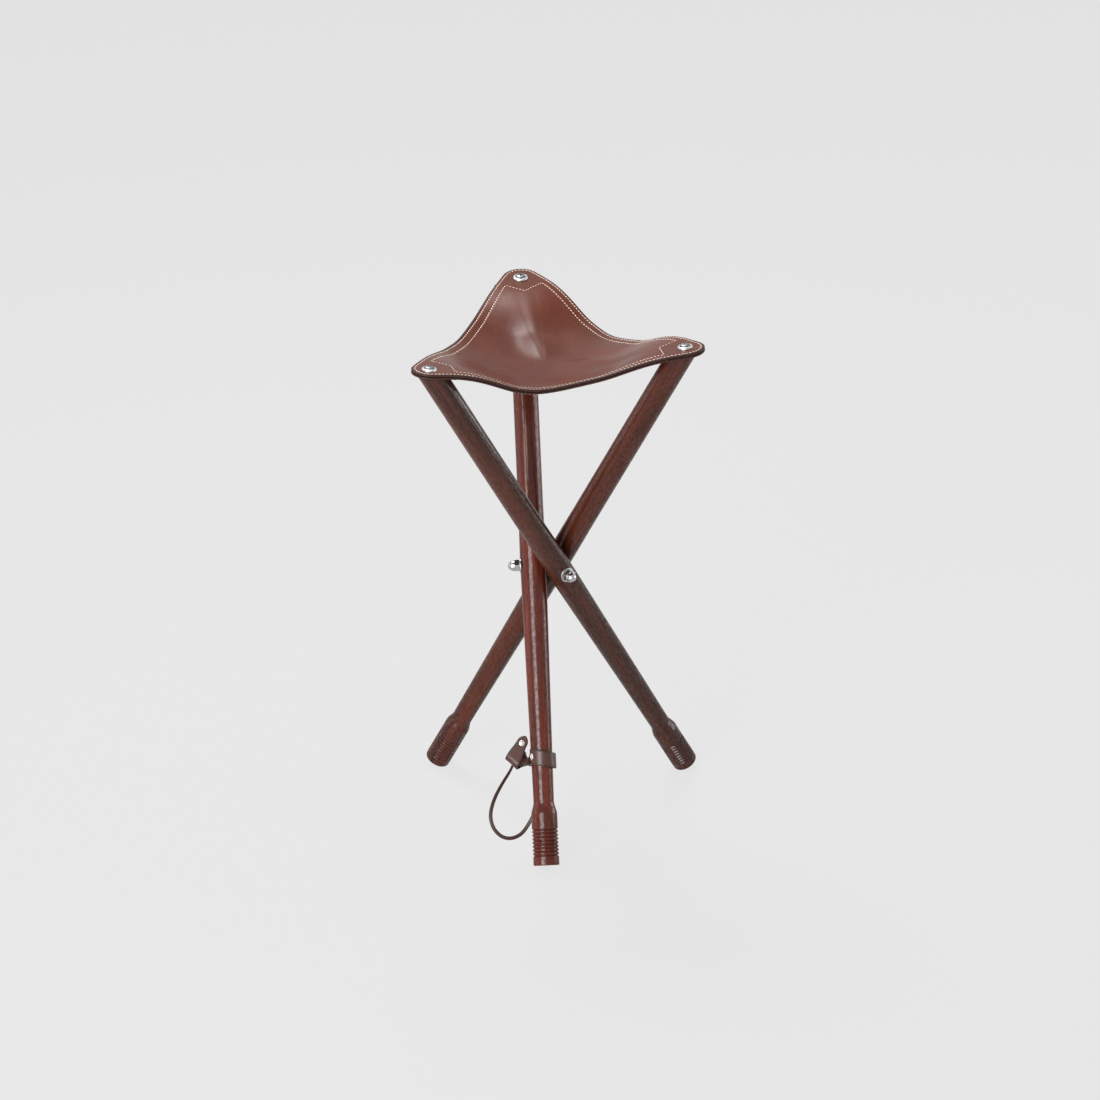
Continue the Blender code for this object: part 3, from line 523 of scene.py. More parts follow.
def grid_piece(name, points, finish, sharp=SMOOTH_ANGLE, gap=None, ring=False):
    """Piece from a grid of points whose columns run round. A ring's rows run round as well."""
    return new_piece(name, points, grid_faces(*points.shape[:2], loop_rows=ring), finish, sharp, gap)

def placed(points, origin, axes):
    """Points given along three axes from an origin, in the row frame."""
    return origin + points @ axes

def revolve(profile, columns, axis=2, limit=None):
    """Profile of (radius, height) rows turned about an axis: r cos t and r sin t across, at each height.

    limit, one radius for each angle, trims the profile, as flats trim a nut.
    """
    profile = np.asarray(profile, float)
    turn = np.linspace(0.0, math.tau, columns, endpoint=False)
    radius = np.broadcast_to(profile[:, :1], (len(profile), columns))
    if limit is not None:
        radius = np.minimum(radius, limit(turn))
    across = (radius * np.cos(turn), radius * np.sin(turn))
    height = np.broadcast_to(profile[:, 1:], radius.shape)
    return np.stack((height, *across) if axis == 0 else (*across, height), -1)

def turned_piece(name, profile, finish, origin, axes, body, node, slot, axis=2, ring=False, limit=None):
    """Turned piece in place of a CAD node. A ring's profile closes on its own first row."""
    points = revolve(profile, TURNED_COLUMNS, axis, limit)
    piece = grid_piece(name, placed(points, origin, axes), finish, ring=ring)
    return dressed(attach(piece, body), slot, node)

def dressed(piece, slot, *nodes):
    if nodes:
        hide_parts(*nodes)
    return piece

def smoothstep(x):
    x = np.clip(x, 0.0, 1.0)
    return x * x * (3.0 - 2.0 * x)

def softstep(x):
    """Smoothstep whose curvature starts and ends at 0 as well, by the fifth-degree polynomial."""
    x = np.clip(x, 0.0, 1.0)
    return x ** 3 * (10.0 + x * (6.0 * x - 15.0))

def unit(vectors):
    return vectors / np.linalg.norm(vectors, axis=-1, keepdims=True)

def rounded(start, end, count):
    """Quarter of an ellipse between two (radius, height) points, leaving the first along its height."""
    turn = np.linspace(0.0, math.pi / 2, count)
    radius = end[0] + (start[0] - end[0]) * np.cos(turn)
    height = start[1] + (end[1] - start[1]) * np.sin(turn)
    return np.stack((radius, height), -1)

# Seat surface, in plan about the hub

def corner_place(key):
    """Where a leg's axis meets the seat, in the row frame."""
    return PIVOT[key] + SEAT_REACH * LEG_UP[key]

def corner_axes(key):
    """Axes of a seat corner: towards the rim, along the rim, and square to the leather."""
    outward = unit((corner_place(key) - HUB) * (1.0, 1.0, 0.0))
    out = outward * math.cos(CORNER_SLOPE) + UP * math.sin(CORNER_SLOPE)
    up = UP * math.cos(CORNER_SLOPE) - outward * math.sin(CORNER_SLOPE)
    return np.array([out, np.cross(up, out), up])

CORNER_XY = np.array([(corner_place(key) - HUB)[:2] for key in CORNERS])
CORNER_Z = (corner_place("b") - HUB)[2]
LOBE_XY = CORNER_XY + np.array([LOBE_SHIFT[key] for key in CORNERS])
SEAT_CENTRE_Z = CORNER_Z - CENTRE_DROP

def rim(s):
    """Rim at s, which counts corners: an arc round each lobe, then a straight edge that hangs in a V.

    Returns plan points, the way out of the rim in plan, the height above the centre and the share along.
    """
    lap = np.floor(s).astype(int) % 3
    share = s - np.floor(s)
    on_arc = share < ARC_SHARE
    along = np.where(on_arc, 0.0, (share - ARC_SHARE) / (1.0 - ARC_SHARE))
    turn = np.where(on_arc, share / ARC_SHARE, 1.0)
    start = LOBE_XY[lap]
    chord = LOBE_XY[(lap + 1) % 3] - start
    before = start - LOBE_XY[(lap - 1) % 3]
    finish_angle = np.arctan2(chord[..., 1], chord[..., 0]) - math.pi / 2
    start_angle = np.arctan2(before[..., 1], before[..., 0]) - math.pi / 2
    angle = start_angle + turn * ((finish_angle - start_angle) % math.tau)
    out = np.stack((np.cos(angle), np.sin(angle)), -1)
    deepest = EDGE_DEEPEST[lap]
    slide = np.where(along < deepest, along / deepest, (1.0 - along) / (1.0 - deepest))
    rise = np.hypot(1.0 - slide, EDGE_ROUNDING) - EDGE_ROUNDING
    dip = 1.0 - rise / (math.hypot(1.0, EDGE_ROUNDING) - EDGE_ROUNDING)
    plan = start + chord * along[..., None] + out * LOBE_RADIUS
    return plan, out, CENTRE_DROP - EDGE_SAG[lap] * dip, along

# The rim in small steps, and its climb at even bearings, plain and blurred by a Gaussian

RIM_PLAN, _, RIM_CLIMB, RIM_ALONG = rim(np.linspace(0.0, 2.9999, 6001))
RIM_BEARING = np.unwrap(np.arctan2(RIM_PLAN[:, 1], RIM_PLAN[:, 0]))
RIM_REACH = np.hypot(RIM_PLAN[:, 0], RIM_PLAN[:, 1])
EVEN_BEARING = np.linspace(0.0, math.tau, 721)[:-1]
EVEN_CLIMB = np.interp(RIM_BEARING[0] + (EVEN_BEARING - RIM_BEARING[0]) % math.tau, RIM_BEARING, RIM_CLIMB)
SPREAD = np.minimum(EVEN_BEARING, math.tau - EVEN_BEARING) / EASE_BEARING
EASED_CLIMB = np.fft.ifft(np.fft.fft(EVEN_CLIMB) * np.fft.fft(np.exp(-SPREAD ** 2))).real
EASED_CLIMB /= np.exp(-SPREAD ** 2).sum()

def seat_height(plan):
    """Height of the leather over plan points: the rim's climb on that bearing, by a power of the share out.

    A hyperbola rounds the share at the centre, where the climb is blurred over the bearings by a Gaussian.
    Along each arm the stretched leather stands up in a soft bell-shaped ridge, which fades at both ends.
    Near each screw it eases into a flat, slightly tilted place.
    """
    bearing = np.arctan2(plan[..., 1], plan[..., 0])
    bearing = RIM_BEARING[0] + (bearing - RIM_BEARING[0]) % math.tau
    share = np.hypot(plan[..., 0], plan[..., 1]) / np.interp(bearing, RIM_BEARING, RIM_REACH)
    share = (np.hypot(share, EASE_CENTRE) - EASE_CENTRE) / (math.hypot(1.0, EASE_CENTRE) - EASE_CENTRE)
    climb = np.interp(bearing, RIM_BEARING, RIM_CLIMB)
    eased = np.interp(bearing % math.tau, EVEN_BEARING, EASED_CLIMB, period=math.tau)
    climb = eased + (climb - eased) * softstep((share - EASE_START) / (EASE_END - EASE_START))
    along = np.interp(bearing, RIM_BEARING, RIM_ALONG)
    curve = ARM_CURVE + (BOWL_CURVE - ARM_CURVE) * np.sin(math.pi * along) ** 2
    height = SEAT_CENTRE_Z + climb * share ** curve
    for lap, corner in enumerate(CORNER_XY):
        way = corner / np.hypot(*corner)
        out = plan @ way
        across = plan[..., 0] * way[1] - plan[..., 1] * way[0] - RIDGE_SHIFT[lap]
        fade = softstep((out - RIDGE_START) / RIDGE_FADE) * softstep((RIDGE_STOP - out) / RIDGE_FADE)
        height = height + RIDGE_HEIGHT[lap] * fade * np.exp(-(across / RIDGE_WIDTH[lap]) ** 2)
    for corner in CORNER_XY:
        offset = plan - corner
        distance = np.hypot(offset[..., 0], offset[..., 1])
        flat = CORNER_Z + math.tan(CORNER_SLOPE) * (offset @ (corner / np.hypot(*corner)))
        keep = 1.0 - smoothstep((distance - CORNER_FLAT) / (CORNER_BEND - CORNER_FLAT))
        height = height + keep * (flat - height)
    return height

def seat_normal(plan):
    """Unit normal of the leather, from its slope over a millimetre."""
    slopes = []
    for way in np.eye(2) * SLOPE_STEP:
        slopes.append((seat_height(plan + way) - seat_height(plan - way)) / (2.0 * SLOPE_STEP))
    return unit(np.stack((-slopes[0], -slopes[1], np.ones_like(slopes[0])), -1))

def seat_place(plan, depth=0.0):
    """Point at a depth under the leather's face, square to it, in the row frame."""
    top = np.concatenate((plan, seat_height(plan)[..., None]), -1)
    return HUB + top - seat_normal(plan) * np.asarray(depth)[..., None]

def inset(s, distance):
    """Plan points at a distance inside the rim, one for all or one each."""
    plan, out, _, _ = rim(np.asarray(s) % 3.0)
    return plan - out * np.asarray(distance)[..., None]

def edge_position(lap, along):
    return lap + ARC_SHARE + along * (1.0 - ARC_SHARE)

def sector_columns(lap, start=-0.5, end=0.5):
    """Rim positions round corner lap, from a share of the edge before it to a share of the edge after."""
    count = max(int(EDGE_COLUMNS * abs(start) * 2.0), 2)
    before = edge_position(lap - 1, np.linspace(1.0 + start, 1.0, count + 1)[:-1])
    around = np.linspace(lap, lap + ARC_SHARE, ARC_COLUMNS + 1)[:-1]
    count = max(int(EDGE_COLUMNS * end * 2.0), 2)
    after = edge_position(lap, np.linspace(0.0, end, count + 1))
    return np.concatenate((before, around, after))

def widened(s):
    """Columns with one more on each side, for the slopes at the ends."""
    return np.concatenate(([s[0] - COLUMN_STEP], s, [s[-1] + COLUMN_STEP]))

def layer_piece(name, s, section, finish, shade=True):
    """Layer of leather over the columns s, closed at its ends.

    section takes columns and gives the upper half's plan points, its depths, the lower half's depths and
    the distances from the cut edge, from the inside to the rim. The lower half runs back under the upper.
    """
    plan, upper, lower, gap = section(widened(s))
    points = seat_place(np.concatenate((plan, plan[::-1])), np.concatenate((upper, lower[::-1])))
    facing = np.cross(np.gradient(points, axis=0), np.gradient(points, axis=1))
    facing /= np.maximum(np.linalg.norm(facing, axis=-1, keepdims=True), 1e-12)
    half = len(plan)
    facing *= np.sign(facing[half // 2, :, 2].sum())
    facing[0] = UP
    facing[-1] = -UP
    points = points[:, 1:-1]
    gap = np.concatenate((gap, np.zeros_like(gap)))[:, 1:-1]
    rows, columns = points.shape[:2]
    faces = [grid_faces(rows, columns, loop_rows=True, loop_columns=False)]
    i = np.arange(half - 1)
    k = rows - 1 - i
    for j in (0, columns - 1):
        faces.append(np.stack((i * columns + j, (i + 1) * columns + j, (k - 1) * columns + j,
                               k * columns + j), -1))
    return new_piece(name, points, np.concatenate(faces), finish, math.radians(40), gap,
                     facing[:, 1:-1] if shade else None)

def lip_rows(thickness):
    """Rounded edge of a layer: distances in from the rim and depths, down to half the thickness."""
    turn = np.linspace(0.0, math.pi / 2, LIP_ROWS)
    return thickness / 2 * (1.0 - np.sin(turn)), thickness / 2 * (1.0 - np.cos(turn))

BAND = np.array([0.0160, 0.0148, 0.0138, 0.0130, 0.0126, 0.0122, 0.0118, 0.0114, 0.0106, 0.0094, 0.0080,
                 0.0066, 0.0054, 0.0048, 0.0044, 0.0040, 0.0036, 0.0032, 0.0026, 0.0020])

def sheet_section(s):
    """Top sheet from the centre to the rim. The seams press shallow grooves, with a Gaussian section."""
    seat = bpy.context.scene.stool_leather
    along = rim(s % 3.0)[3]
    lip, lip_depth = lip_rows(LEATHER)
    gap = np.concatenate((np.full(FIELD_ROWS, FIELD_GAP), BAND, lip))
    band = np.stack([inset(s, d) for d in gap[FIELD_ROWS:]])
    field = band[0] * np.linspace(0.0, 1.0, FIELD_ROWS + 1)[:-1, None, None]
    plan = np.concatenate((field, band))
    gap = np.broadcast_to(gap[:, None], plan.shape[:2])
    share = smoothstep((along - PATCH_SHARE) / SEAM_FADE)
    share = share * smoothstep((1.0 - PATCH_SHARE - along) / SEAM_FADE)
    upper = SEAM_PRESS[0] * np.exp(-((gap - seat.seam_inset) / SEAM_SPREAD) ** 2)
    upper = upper + SEAM_PRESS[1] * np.exp(-((gap - seat.inner_inset) / SEAM_SPREAD) ** 2) * share
    upper[-len(lip):] = lip_depth[:, None]
    lower = np.full_like(upper, LEATHER)
    lower[-len(lip):] = LEATHER - lip_depth[:, None]
    return plan, upper, lower, gap

def banded_section(border, thickness):
    """Section of a layer under the sheet, from a border that border(s) gives in plan, to the rim."""

    def section(s):
        lip, lip_depth = lip_rows(thickness)
        outer = inset(s, lip[0])
        inner = border(s)
        share = np.concatenate(([0.0, 0.015, 0.04], np.linspace(0.1, 1.0, 12)))
        field = inner + (outer - inner) * share[:, None, None]
        edge = np.stack([inset(s, d) for d in lip[1:]])
        plan = np.concatenate((field, edge))
        top = LEATHER + GAP
        depth = np.concatenate(([0.0006, 0.00015], np.zeros(len(share) - 2), lip_depth[1:]))
        depth = np.broadcast_to(depth[:, None], plan.shape[:2])
        gap = np.concatenate(([0.0, 0.0002], np.full(len(share) - 2, 0.005), lip[1:]))
        return plan, top + depth, top + thickness - depth, np.broadcast_to(gap[:, None], depth.shape)

    return section

def strip_border(s):
    return inset(s, STRIP_WIDTH)

def chevron_ends(lap, distance):
    """Plan points where a corner's chevron meets the edge seams, and its tip towards the seat's centre."""
    corner = CORNER_XY[lap]
    tip = corner * (1.0 - (PATCH_TIP - STRIP_WIDTH + distance) / np.hypot(*corner))
    ends = inset((edge_position(lap - 1, 1.0 - PATCH_SHARE), edge_position(lap, PATCH_SHARE)), distance)
    return ends[0], tip, ends[1]

def cross_plan(p, q):
    return p[..., 0] * q[..., 1] - p[..., 1] * q[..., 0]

def patch_border(lap):
    """Border of a corner patch: on each column's ray from the centre, its crossing with the chevron."""
    first, tip, last = chevron_ends(lap, STRIP_WIDTH)

    def border(s):
        ray = rim(s % 3.0)[0]
        crossings = []
        for end in (first, last):
            way = end - tip
            crossings.append(cross_plan(tip, way) / cross_plan(ray, way))
        side = cross_plan(tip, ray) * cross_plan(tip, last) > 0.0
        return ray * np.where(side, crossings[1], crossings[0])[:, None]

    return border

def bent(piece):
    """Bake the placement of a piece of seat leather into its mesh; nothing bends it here."""
    level = HUB[2] + CORNER_Z
    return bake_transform(piece)

def declared(s, section, depth):
    """Cross products of the diagonals of the layer's cells, worked out and not used; nothing is declared.
    """
    plan = section(s)[0]
    points = seat_place(plan, depth)
    diagonals = np.cross(points[1:, 1:] - points[:-1, :-1], points[1:, :-1] - points[:-1, 1:])

# Stitches

def stitch_rows(path, pitch):
    """Centres, directions, normals and spacing of even stitches along a fine plan path, on the seat."""
    points = seat_place(path)
    run = np.concatenate(([0.0], np.cumsum(np.linalg.norm(np.diff(points, axis=0), axis=1))))
    count = max(int(round(run[-1] / pitch)), 1)
    cell = run[-1] / count
    centre = (np.arange(count) + 0.5) * cell

    def at(place):
        return np.stack([np.interp(place, run, path[:, axis]) for axis in range(2)], -1)

    along = unit(seat_place(at(centre + cell / 4)) - seat_place(at(centre - cell / 4)))
    return seat_place(at(centre)), along, seat_normal(at(centre)), cell

def stitch_points(centre, along, normal, length, width, sink):
    """Plump threads: each section is an ellipse that narrows and dips into the leather at both ends."""
    place = np.linspace(-1.0, 1.0, STITCH_ROWS)
    turn = np.linspace(0.0, math.tau, STITCH_COLUMNS, endpoint=False)
    side = np.cross(normal, along)
    slant = 0.10
    way = along + side * slant
    side = side - along * slant
    radius = width / 2 * np.sqrt(np.clip(1.0 - np.abs(place) ** 3.5, 0.0, 1.0))
    dip = -0.35 * width * place ** 2 - sink
    a = (length / 2 * place)[:, None] * np.ones(STITCH_COLUMNS)
    b = radius[:, None] * np.cos(turn)
    c = 0.75 * radius[:, None] * np.sin(turn) + dip[:, None]
    shape = np.stack((a, b, c), -1)
    axes = np.stack((way, side, normal), 1)
    return centre[:, None, None, :] + np.einsum("rca,nax->nrcx", shape, axes)

def seam_paths(lap):
    """Plan paths of one sector's seams: round the rim, inside each half edge, and over the chevron."""
    seat = bpy.context.scene.stool_leather
    half = np.linspace(-0.5, -PATCH_SHARE, 200)
    outer = np.concatenate((edge_position(lap - 1, 1.0 + np.linspace(-0.5, 0.0, 240)),
                            np.linspace(lap, lap + ARC_SHARE, 120)[1:],
                            edge_position(lap, np.linspace(0.0, 0.5, 240))[1:]))
    first, tip, last = chevron_ends(lap, seat.inner_inset)
    share = np.linspace(0.0, 1.0, 60)[:, None]
    return (inset(outer, seat.seam_inset),
            inset(edge_position(lap - 1, 1.0 + half), seat.inner_inset),
            first + (tip - first) * share,
            tip + (last - tip) * share,
            inset(edge_position(lap, -half[::-1]), seat.inner_inset))

def stitch_piece(lap, finish):
    """Thread of one sector, on the leather's face and again under the layers that it goes through."""
    seat = bpy.context.scene.stool_leather
    groups = []
    for path in seam_paths(lap):
        centre, along, normal, cell = stitch_rows(path, seat.stitch_pitch)
        under = centre - normal * (LEATHER + GAP + PATCH_LEATHER)
        for place, up, sink in ((centre, normal, STITCH_SINK[0]), (under, -normal, STITCH_SINK[1])):
            groups.append(stitch_points(place, along, up, cell * STITCH_SHARE, seat.stitch_width, sink))
    points = np.concatenate(groups)
    count, rows, columns = points.shape[:3]
    faces = grid_faces(rows, columns)[None] + (np.arange(count) * rows * columns)[:, None, None]
    return new_piece("stitches_" + CORNERS[lap], points, faces.reshape(-1, 4), finish)

# Leg

def leg_radius(z):
    """Radius of the turned leg at a height from its pivot.

    Foot band, cosine grooves between softly crowned rings, collar, an eased shoulder, then straight tapers.
    """
    depth = bpy.context.scene.stool_wood.groove_depth
    first = END_BAND - FOOT_REACH
    last = first + (GROOVE_COUNT - 1) * GROOVE_PITCH + GROOVE_WIDTH
    collar = last + COLLAR_LENGTH
    neck = collar + SHOULDER_LENGTH
    cycle = (z - first - GROOVE_WIDTH / 2) / GROOVE_PITCH
    wave = 0.5 + 0.5 * np.cos(math.tau * (cycle - np.round(cycle)))
    inside = (z > first - GROOVE_PITCH * 0.2) & (z < last + GROOVE_PITCH * 0.2)
    cut = np.where(inside, depth * wave ** 2.2, 0.0)
    shoulder = FOOT_RADIUS + (NECK_RADIUS - FOOT_RADIUS) * smoothstep((z - collar) / SHOULDER_LENGTH)
    lower = NECK_RADIUS + (PIVOT_RADIUS - NECK_RADIUS) * (z - neck) / -neck
    upper = PIVOT_RADIUS + (UPPER_RADIUS - PIVOT_RADIUS) * np.clip(z / SWELL_LENGTH, 0.0, 1.0)
    return np.where(z < neck, shoulder, np.where(z < 0.0, lower, upper)) - cut

def leg_points(key):
    """Grid of the leg in its own axes: turned rows, the spot face cut flat, and the top cut at the seat."""
    turn = np.linspace(0.0, math.pi / 2, 8)
    foot_r = FOOT_RADIUS - FOOT_EDGE * (1.0 - np.sin(turn))
    foot_z = -FOOT_REACH + FOOT_EDGE * (1.0 - np.cos(turn))
    first = END_BAND - FOOT_REACH
    last = first + GROOVE_COUNT * GROOVE_PITCH
    neck = last - GROOVE_PITCH + GROOVE_WIDTH + COLLAR_LENGTH + SHOULDER_LENGTH
    low = SEAT_REACH - TOP_STRETCH
    heights = np.concatenate((
        np.linspace(foot_z[-1], first - 0.0012, 6)[1:],
        np.arange(first - 0.0008, last + 0.0008, GROOVE_PITCH / 14),
        np.linspace(last + 0.0012, neck, 36),
        np.linspace(neck, -0.0102, 60)[1:],
        np.arange(-0.0099, 0.0100, 0.0003),
        np.linspace(0.0103, SWELL_LENGTH, 20),
        np.linspace(SWELL_LENGTH, low, 40)[1:],
        np.linspace(low, SEAT_REACH, 16)[1:],
    ))
    radius = np.concatenate((FOOT_RINGS, foot_r, leg_radius(heights),
                             UPPER_RADIUS - np.array((*TOP_RINGS, UPPER_RADIUS))))
    height = np.concatenate((np.full(3, -FOOT_REACH), foot_z, heights, np.full(5, SEAT_REACH)))
    points = revolve(np.stack((radius, height), -1), LEG_COLUMNS)
    up = LEG_AXES[key] @ corner_axes(key)[2]
    level = np.array([0.0, 0.0, SEAT_REACH]) - up * (LEATHER + PATCH_LEATHER + 2.0 * GAP)
    x, y, z = (points[..., axis] for axis in range(3))
    top = (up @ level - up[0] * x - up[1] * y) / up[2]
    share = np.clip((z - low) / (SEAT_REACH - low), 0.0, 1.0)
    chamfer = np.zeros(z.shape)
    chamfer[-6] = TOP_CHAMFER[0]
    chamfer[-5] = TOP_CHAMFER[1]
    z = np.where(share > 0.0, low + (top - chamfer - low) * share, z)
    flat = (y ** 2 + z ** 2 < SPOT_RADIUS ** 2) & (x > SPOT_FACE)
    x = np.where(flat, SPOT_FACE, x)
    return np.stack((x, y, z), -1)

def screw_head_points():
    """Raised screw head: an oval dome sunk by a cross whose walls are smooth steps, over its shank.

    The second array is 0 in the cross, where the plate is painted darker as shade in the recess, and 1
    elsewhere.
    """
    edge = CUP_HEIGHT + 2.0 * GAP
    share = np.linspace(0.0, 1.0, 46)[:, None]
    turn = np.linspace(0.0, math.tau, SCREW_COLUMNS, endpoint=False)
    radius = SCREW_HEAD_RADIUS * share * np.ones(SCREW_COLUMNS)
    x = radius * np.cos(turn)
    y = radius * np.sin(turn)
    z = edge + SCREW_DOME * np.sqrt(1.0 - (share * SCREW_DOME_SHARE) ** 2) * np.ones(SCREW_COLUMNS)
    wall = 0.00022

    def slot(along, across):
        inside = smoothstep((RECESS_WIDTH / 2 - np.abs(across)) / wall + 0.5)
        return inside * smoothstep((RECESS_SPAN / 2 - np.abs(along)) / wall + 0.5)

    recess = np.maximum(slot(x, y), slot(y, x))
    z = z - RECESS_DEPTH * recess
    shank = revolve(((SCREW_HEAD_RADIUS, edge - 0.0001), (SCREW_SHANK_RADIUS, edge - SCREW_SINK),
                     (SCREW_SHANK_RADIUS, -SCREW_TAPER_START), (0.0, -SCREW_LENGTH)), SCREW_COLUMNS)
    unshaded_mask = 1.0 - np.concatenate((recess, np.zeros(shank.shape[:2])))
    return np.concatenate((np.stack((x, y, z), -1), shank)), unshaded_mask

# Strap and thong, in the front leg's axes

def strap_directions():
    """Fold axis of the strap, the way its roll bulges, the tongue's way, and the climb along the fold."""
    along = np.array([-math.cos(FOLD_AXIS), 0.0, math.sin(FOLD_AXIS)])
    bulge = np.array([-along[2], 0.0, along[0]])
    tongue = np.array([-math.cos(TONGUE_ANGLE), 0.0, math.sin(TONGUE_ANGLE)])
    return along, bulge, tongue, (tongue @ along) / (tongue @ bulge)

def strap_path():
    """Centre line, width directions and widths of the strap.

    A ring round the leg, a Hermite curve out to the side, half a turn of a helix about the slanting fold,
    and a straight tongue that narrows to a rounded point.
    """
    along, bulge, tongue, climb = strap_directions()
    turn = np.linspace(STRAP_START, 1.5 * math.pi, 90)[:, None]
    x = STRAP_RADIUS * np.cos(turn) - STRAP_STAND_OFF
    ring = OUT * x + FRONT * STRAP_RADIUS * np.sin(turn) + UP * STRAP_SLANT * x
    half_turn = math.pi / 2
    back = FOLD_CENTRE - FRONT * FOLD_RADIUS + along * (climb * FOLD_RADIUS * half_turn)
    inward = unit(bulge - along * climb)
    reach = np.linalg.norm(back - ring[-1])
    t = np.linspace(0.0, 1.0, 24)[1:-1, None]
    leave = (ring[-1] * (2 * t ** 3 - 3 * t ** 2 + 1) + OUT * reach * (t ** 3 - 2 * t ** 2 + t)
             + back * (3 * t ** 2 - 2 * t ** 3) + inward * reach * (t ** 3 - t ** 2))
    leave_way = unit(UP * (1.0 - smoothstep(t)) + np.cross(inward, -FRONT) * smoothstep(t))
    turn = np.linspace(-half_turn, half_turn, 40)[:, None]
    fold = FOLD_CENTRE + (bulge * np.cos(turn) + FRONT * np.sin(turn) - along * climb * turn) * FOLD_RADIUS
    tangent = unit(FRONT * np.cos(turn) - bulge * np.sin(turn) - along * climb)
    fold_way = np.cross(tangent, bulge * np.cos(turn) + FRONT * np.sin(turn))
    straight = TONGUE_LENGTH - TONGUE_POINT
    run = np.concatenate((np.linspace(0.0, straight, 16)[1:],
                          straight + TONGUE_POINT * np.sin(np.linspace(0.0, half_turn, 14)[1:])))
    width = STRAP_WIDTH + (TONGUE_WIDTH - STRAP_WIDTH) * smoothstep(run / straight)
    pointed = np.clip((run - straight) / TONGUE_POINT, 0.0, 1.0)
    width = np.maximum(width * (1.0 - pointed ** 2) ** 0.75, TONGUE_TIP)
    end = fold[-1] + tongue * run[:, None]
    end_way = np.broadcast_to(np.cross(tongue, FRONT), end.shape)
    ways = np.concatenate((np.broadcast_to(UP, ring.shape), leave_way, fold_way, end_way))
    widths = np.concatenate((np.full(len(ring) + len(leave) + len(fold), STRAP_WIDTH), width))
    return np.concatenate((ring, leave, fold, end)), ways, widths

def ribbon_points(path, ways, widths, thickness, crown=0.0):
    """Strip of leather: at each station a flat section with round edges, closed to a point at both ends.

    The section runs over one face and back under the other. Its distance from the edge is given as well.
    """
    tangent = unit(np.gradient(path, axis=0))
    normal = unit(np.cross(tangent, ways))
    ways = np.cross(normal, tangent)
    turn = np.linspace(-math.pi / 2, math.pi / 2, 9)
    flat = np.linspace(1.0, -1.0, 9)[1:-1]
    half = thickness / 2
    straight = np.maximum(widths / 2 - half, 0.00002)
    side = np.concatenate((np.ones(9), flat, -np.ones(9), -flat))
    bulge = np.concatenate((np.cos(turn), np.zeros(7), -np.cos(turn), np.zeros(7)))
    rise = np.concatenate((np.sin(turn), np.ones(7), -np.sin(turn), -np.ones(7)))
    swell = np.concatenate((np.zeros(9), 1.0 - flat ** 2, np.zeros(9), flat ** 2 - 1.0))
    across = side * straight[:, None] + bulge * half
    height = rise * half + swell * crown
    points = path[:, None] + ways[:, None] * across[..., None] + normal[:, None] * height[..., None]
    gap = widths[:, None] / 2 - np.abs(across)
    ends = [np.repeat(row.mean(axis=1, keepdims=True), points.shape[1], axis=1)
            for row in (points[:1], points[-1:])]
    blank = np.zeros((1, gap.shape[1]))
    return np.concatenate((ends[0], points, ends[1])), np.concatenate((blank, gap, blank))

def curve_through(points, steps):
    """Catmull-Rom curve through points: each span is a cubic whose ends run parallel to the neighbours."""
    place = np.linspace(0.0, len(points) - 1, steps + 1)
    k = np.minimum(place.astype(int), len(points) - 2)
    t = (place - k)[:, None]
    p0, p1, p2, p3 = (points[np.clip(k + step, 0, len(points) - 1)] for step in (-1, 0, 1, 2))
    return 0.5 * (2 * p1 + (p2 - p0) * t + (2 * p0 - 5 * p1 + 4 * p2 - p3) * t ** 2
                  + (3 * p1 - p0 - 3 * p2 + p3) * t ** 3)

def on_front_leg(points):
    return placed(points + STRAP_PLACE, PIVOT["b"], LEG_AXES["b"])

# Stage

def add_camera(scene, stage):
    """Camera on a ray from the hub, aimed a few pixels off it and rolled, as the photograph was taken."""
    azimuth, elevation = stage.azimuth, stage.elevation
    back = Vector((math.sin(azimuth) * math.cos(elevation), -math.cos(azimuth) * math.cos(elevation),
                   math.sin(elevation)))
    right = (-back).cross(Vector((0, 0, 1))).normalized()
    up = right.cross(-back)
    pixels = stage.focal / SENSOR_WIDTH * FRAME_PIXELS
    aim = (-back - right * (AIM_PIXELS[0] / pixels) + up * (AIM_PIXELS[1] / pixels)).normalized()
    right = aim.cross(Vector((0, 0, 1))).normalized()
    turn = Matrix.Rotation(stage.roll, 3, -aim)
    up = turn @ right.cross(aim)
    right = turn @ right
    camera = bpy.data.objects.new("camera", bpy.data.cameras.new("camera"))
    camera.data.lens = stage.focal
    camera.data.sensor_width = SENSOR_WIDTH
    camera.data.clip_end = 200.0
    columns = Matrix((right, up, -aim)).transposed().to_4x4()
    camera.matrix_world = Matrix.Translation(Vector(HUB) + back * stage.distance) @ columns
    scene.collection.objects.link(camera)
    scene.camera = camera

def add_floor(stage):
    """Matt floor, mixed with its own flat colour for the camera and for reflections."""
    points = FLOOR_SIZE * np.array([(-1, -1, 0), (1, -1, 0), (1, 1, 0), (-1, 1, 0)], float)
    paint = new_paint("pale floor")
    grey = (stage.backdrop,) * 3
    paint.finish(Base_Color=grey, Roughness=0.9)
    glow = paint.node("ShaderNodeEmission", None, Color=grey, Strength=1.0)
    mixed = paint.node("ShaderNodeMixShader", None, seen_directly(paint) * FLOOR_GLOW,
                       paint.shader.outputs[0], glow.outputs[0])
    paint.feed(paint.tree.nodes["Material Output"].inputs["Surface"], mixed.outputs[0])
    floor = new_piece("floor", points, np.array([[0, 1, 2, 3]]), paint.owner)
    floor.location.z = -FLOOR_DROP

